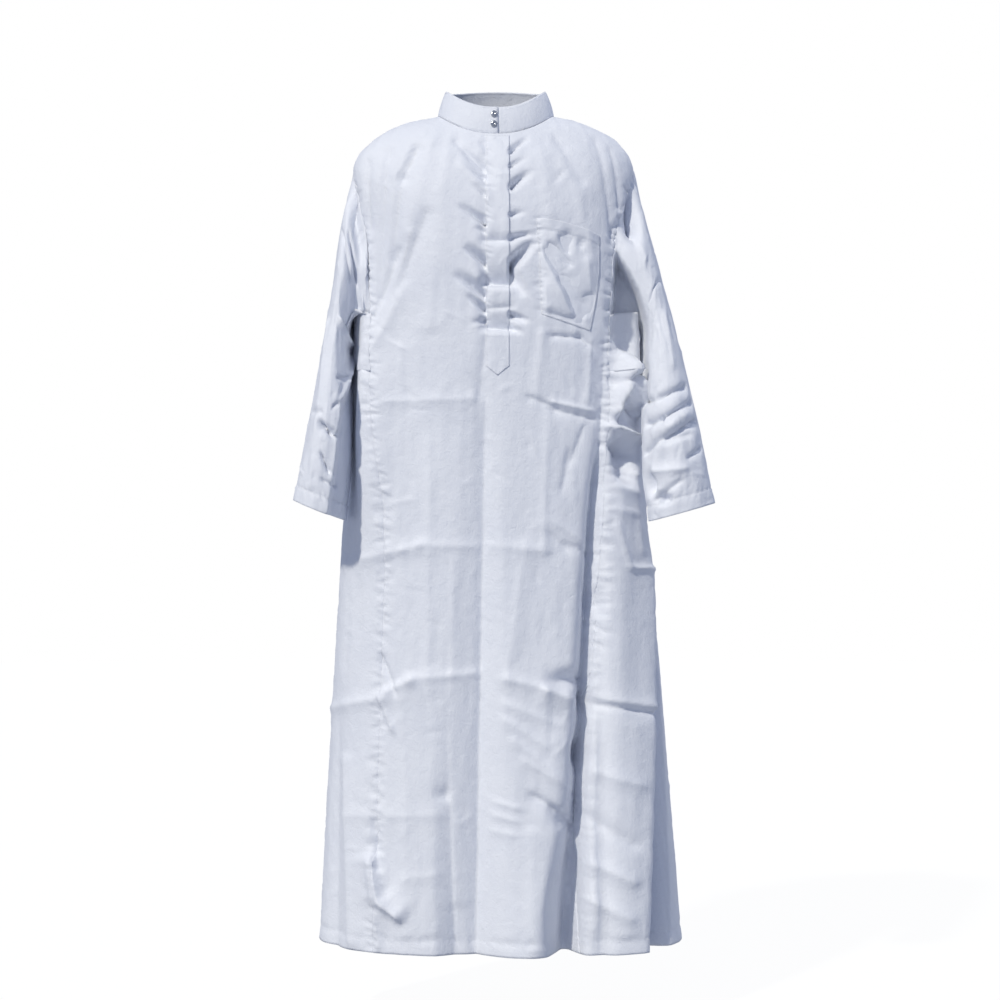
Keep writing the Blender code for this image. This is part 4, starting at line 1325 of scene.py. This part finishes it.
def make_bag(cloth):
    """The pocket bag inside the side seam on the wearer's left."""
    rows, columns = BAG_GRID
    levels = np.linspace(*BAG_LEVELS, rows + 1)
    front = seam_angle("front_plus", levels) * BAG_REACH
    angles = between(front, np.full(levels.shape, -1.5), np.linspace(0, 1, columns + 1))
    cloth_piece("side_pocket_bag", body(angles, levels[:, None], -BAG_DEPTH), cloth)


def at_distances(distances, reach, table):
    """Rows of a table at distances along its line."""
    return np.stack([np.interp(distances, reach, column) for column in table.T], axis=-1)


def stitches(lines, material):
    """Topstitching: short tight stitches along lines of points, each a little spindle of thread."""
    turns = np.linspace(0, 2 * np.pi, STITCH_SIDES, endpoint=False)
    ring = np.stack([np.cos(turns), np.sin(turns)], axis=-1) * THREAD
    spindle = [(-STITCH / 2, 0, 0)]
    for along in (-0.34, 0.34):
        spindle += [(along * STITCH, a, b) for a, b in ring]
    spindle = np.array(spindle + [(STITCH / 2, 0, 0)])
    faces = []
    for i in range(1, STITCH_SIDES + 1):
        j = i % STITCH_SIDES + 1
        low, next_low = STITCH_SIDES + i, STITCH_SIDES + j
        faces += [(0, j, i), (i, j, next_low), (i, next_low, low), (len(spindle) - 1, low, next_low)]
    points = []
    pitch = STITCH + STITCH_GAP
    for line, normals in lines:
        reach = np.concatenate([[0], np.cumsum(np.linalg.norm(np.diff(line, axis=0), axis=-1))])
        count = int(reach[-1] / pitch)
        at = (np.arange(count) + 0.5) * reach[-1] / count
        ahead, behind = at_distances(at + pitch / 2, reach, line), at_distances(at - pitch / 2, reach, line)
        along = unit(ahead - behind)
        across = unit(np.cross(at_distances(at, reach, normals), along))
        axes = np.stack([along, across, np.cross(along, across)], axis=1)
        points.append((at_distances(at, reach, line)[:, None] + spindle @ axes).reshape(-1, 3))
    points = np.concatenate(points)
    first = np.arange(0, len(points), len(spindle))
    mesh = bpy.data.meshes.new("topstitching")
    mesh.from_pydata(points.tolist(), [], (first[:, None, None] + faces).reshape(-1, 3).tolist())
    mesh.shade_smooth()
    made = place_object("topstitching", mesh, material)
    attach(made, ROOT)


def front_line(x, z, out):
    angle, level = front_place(x, z)
    return body(angle, level, out), body_normal(angle, level)


def sleeve_line(side, turns, levels):
    return sleeve(side, turns, levels, THREAD * 0.6), sleeve_normal(side, turns, levels)


def bent(corners, count):
    """count places along a bent line, as many on each of its straight parts."""
    share = np.linspace(0, len(corners) - 1, count)
    return [np.interp(share, range(len(corners)), values) for values in zip(*corners)]


def stitch_lines():
    """Where the robe is topstitched."""
    lines = []
    right, left = PLACKET_X[0] + EDGE_STITCH, PLACKET_X[1] - EDGE_STITCH
    below, corner_z = PLACKET_STITCH_Z - 0.006, PLACKET_CORNER_Z + 0.0012
    tab = [(left, PLACKET_STITCH_Z), (left, corner_z), (0.001, PLACKET_TIP_Z + 0.003), (right, corner_z)]
    for corners, count in (
        ([(right, PLACKET_TOP_Z - 0.002), (right, PLACKET_CORNER_Z)], 500),
        ([(right, PLACKET_STITCH_Z), (left, PLACKET_STITCH_Z)], 60),
        ([(right, below), (left, below)], 60),
        (tab, 160),
    ):
        x, z = bent(corners, count)
        lines.append(front_line(x, z, placket_out(x, z) + THREAD * 0.5))
    side, low = EDGE_STITCH / POCKET_WIDTH, 1 - EDGE_STITCH / POCKET_LENGTH
    on_pocket = LAYER + LAYER_GAP + THREAD * 0.5
    across, down = bent([(side, 0.004), (side, low), (1 - side, low), (1 - side, 0.004)], 400)
    lines.append(front_line(*pocket_place(across, down), on_pocket))
    across, down = bent([(0.02, POCKET_HEM), (0.98, POCKET_HEM)], 120)
    lift = POCKET_EASE * pocket_loose(np.minimum(across, 1 - across) * POCKET_WIDTH) + 0.0012
    lines.append(front_line(*pocket_place(across, down), on_pocket + lift))
    angles = np.linspace(-270, 90, 1600)
    last_ring = RINGS[-2, 2] - RINGS[-1, 2]
    level = np.full(angles.shape, HEM_LEVEL - HEM_DEPTH / last_ring)
    lines.append((body(angles, level, THREAD * 0.6), body_normal(angles, level)))
    for side_name in SLEEVES:
        lines.append(sleeve_line(side_name, np.linspace(0, 360, 700), np.full(700, CUFF_LEVEL - CUFF_HEM)))
    lines.append(sleeve_line("minus", np.linspace(108, 106, 300), np.linspace(4.0, 5.95, 300)))
    angles = collar_angles(900, 1.2, 15)
    away = away_from_neck(angles)
    for height in (0.055, 0.945):
        lines.append((collar_point(angles, np.full(angles.shape, height), THREAD * 0.4 - 0.0003), away))
    heights = np.linspace(0.06, 0.94, 60)
    end = collar_point(np.full(heights.shape, angles[0]), heights, THREAD * 0.4 - 0.0002)
    lines.append((end, np.broadcast_to(away[0], end.shape)))
    return lines


def make_studs(metal):
    """Two press studs, each a domed cap with a rolled rim and a pressed ring round its middle."""
    turns = np.linspace(0, 2 * math.pi, STUD_SIDES, endpoint=False)
    shares, lifts = np.array(STUD_PROFILE)[1:].T[..., None, None]
    rings = len(shares)
    low = 1 + np.arange(STUD_SIDES)
    after = 1 + (low % STUD_SIDES)
    faces = [(0, a, b) for a, b in zip(low.tolist(), after.tolist())]
    for start in range(0, (rings - 1) * STUD_SIDES, STUD_SIDES):
        quads = np.stack([low, low + STUD_SIDES, after + STUD_SIDES, after], axis=-1) + start
        faces += quads.tolist()
    faces.append((low + (rings - 1) * STUD_SIDES).tolist())
    for name, z in zip(("upper", "lower"), STUD_Z):
        height = (z - RINGS[0, 4]) / (COLLAR_TOP[4] - RINGS[0, 4])
        angle = np.array(float(front_angle(STUD_X, 0.0)))
        seat = collar_point(angle, height, LAYER_GAP * 0.2)
        up = unit(collar_point(angle, height + 0.05) - collar_point(angle, height - 0.05))
        out = unit(np.cross([1.0, 0, 0], up))
        right = np.cross(up, out)
        round_way = np.cos(turns)[:, None] * right + np.sin(turns)[:, None] * up
        points = seat + out * lifts + round_way * shares * STUD_RADIUS
        middle = seat + out * STUD_PROFILE[0][1]
        mesh = bpy.data.meshes.new(f"stud_{name}")
        mesh.from_pydata([middle.tolist()] + points.reshape(-1, 3).tolist(), [], faces)
        mesh.shade_smooth()
        made = place_object(f"stud_{name}", mesh, metal)
        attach(made, ROOT)
        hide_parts(f"collar_stud_{name}")


def show_white(tree, lit, kind, strength):
    """A shader that the camera sees as plain white and that lights the robe as lit."""
    mix = tree.nodes.new("ShaderNodeMixShader")
    white = add(tree, kind, Color=(1, 1, 1, 1), Strength=strength)
    tree.links.new(tree.nodes.new("ShaderNodeLightPath").outputs["Is Camera Ray"], mix.inputs[0])
    tree.links.new(lit.outputs[0], mix.inputs[1])
    tree.links.new(white.outputs[0], mix.inputs[2])
    return mix


def add_sun(name, power, colour, width, rise, turn):
    lamp = bpy.data.lights.new(name, "SUN")
    lamp.energy = power
    lamp.color = colour
    lamp.angle = math.radians(width)
    place_object(name, lamp).rotation_euler = (math.radians(90 - rise), 0, math.radians(turn))


def make_studio():
    world = bpy.data.worlds.new("studio")
    bpy.context.scene.world = world
    world.use_nodes = True
    tree = world.node_tree
    lit = tree.nodes["Background"]
    lit.inputs["Color"].default_value = FILL_COLOUR
    lit.inputs["Strength"].default_value = FILL_POWER
    seen = show_white(tree, lit, "ShaderNodeBackground", 1.0)
    tree.links.new(seen.outputs[0], tree.nodes["World Output"].inputs["Surface"])
    add_sun("key", KEY_POWER, KEY_COLOUR, KEY_ANGLE, KEY_RISE, KEY_TURN)
    add_sun("back", BACK_POWER, (1, 1, 1), BACK_ANGLE, BACK_RISE, BACK_TURN)

    pale = bpy.data.materials.new("pale_floor")
    pale.use_nodes = True
    tree = pale.node_tree
    shader = tree.nodes["Principled BSDF"]
    shader.inputs["Base Color"].default_value = FLOOR_COLOUR
    shader.inputs["Roughness"].default_value = 0.9
    shared = tree.nodes.new("ShaderNodeMixShader")
    shared.inputs[0].default_value = FLOOR_WHITE
    tree.links.new(shader.outputs[0], shared.inputs[1])
    tree.links.new(show_white(tree, shader, "ShaderNodeEmission", FLOOR_GLOW).outputs[0], shared.inputs[2])
    tree.links.new(shared.outputs[0], tree.nodes["Material Output"].inputs["Surface"])
    turns = np.linspace(0, 2 * math.pi, 96, endpoint=False)
    corners = [(FLOOR_RADIUS * math.cos(turn), FLOOR_RADIUS * math.sin(turn), FLOOR_Z) for turn in turns]
    floor_mesh = bpy.data.meshes.new("floor")
    floor_mesh.from_pydata(corners, [], [tuple(range(len(corners)))])
    floor = place_object("floor", floor_mesh, pale)

    camera = bpy.data.cameras.new("camera")
    camera.lens = LENS
    viewer = place_object("camera", camera)
    viewer.location = CAMERA
    viewer.rotation_euler = (math.radians(90), 0, 0)
    bpy.context.scene.camera = viewer
    bpy.context.scene.view_settings.view_transform = "Standard"


def main():
    cloth = cloth_material("robe_cloth", CLOTH_LIGHT, CLOTH_DARK, 0.56, 0.16)
    thread = cloth_material("sewing_thread", THREAD_COLOUR, THREAD_COLOUR, 0.5, 0.2)
    metal = metal_material("stud_metal")
    for make in (
        make_panels, make_gores, make_sleeves, make_gussets, make_collar, make_placket, make_pocket, make_bag,
    ):
        make(cloth)
    stitches(stitch_lines(), thread)
    make_studs(metal)
    make_studio()


main()
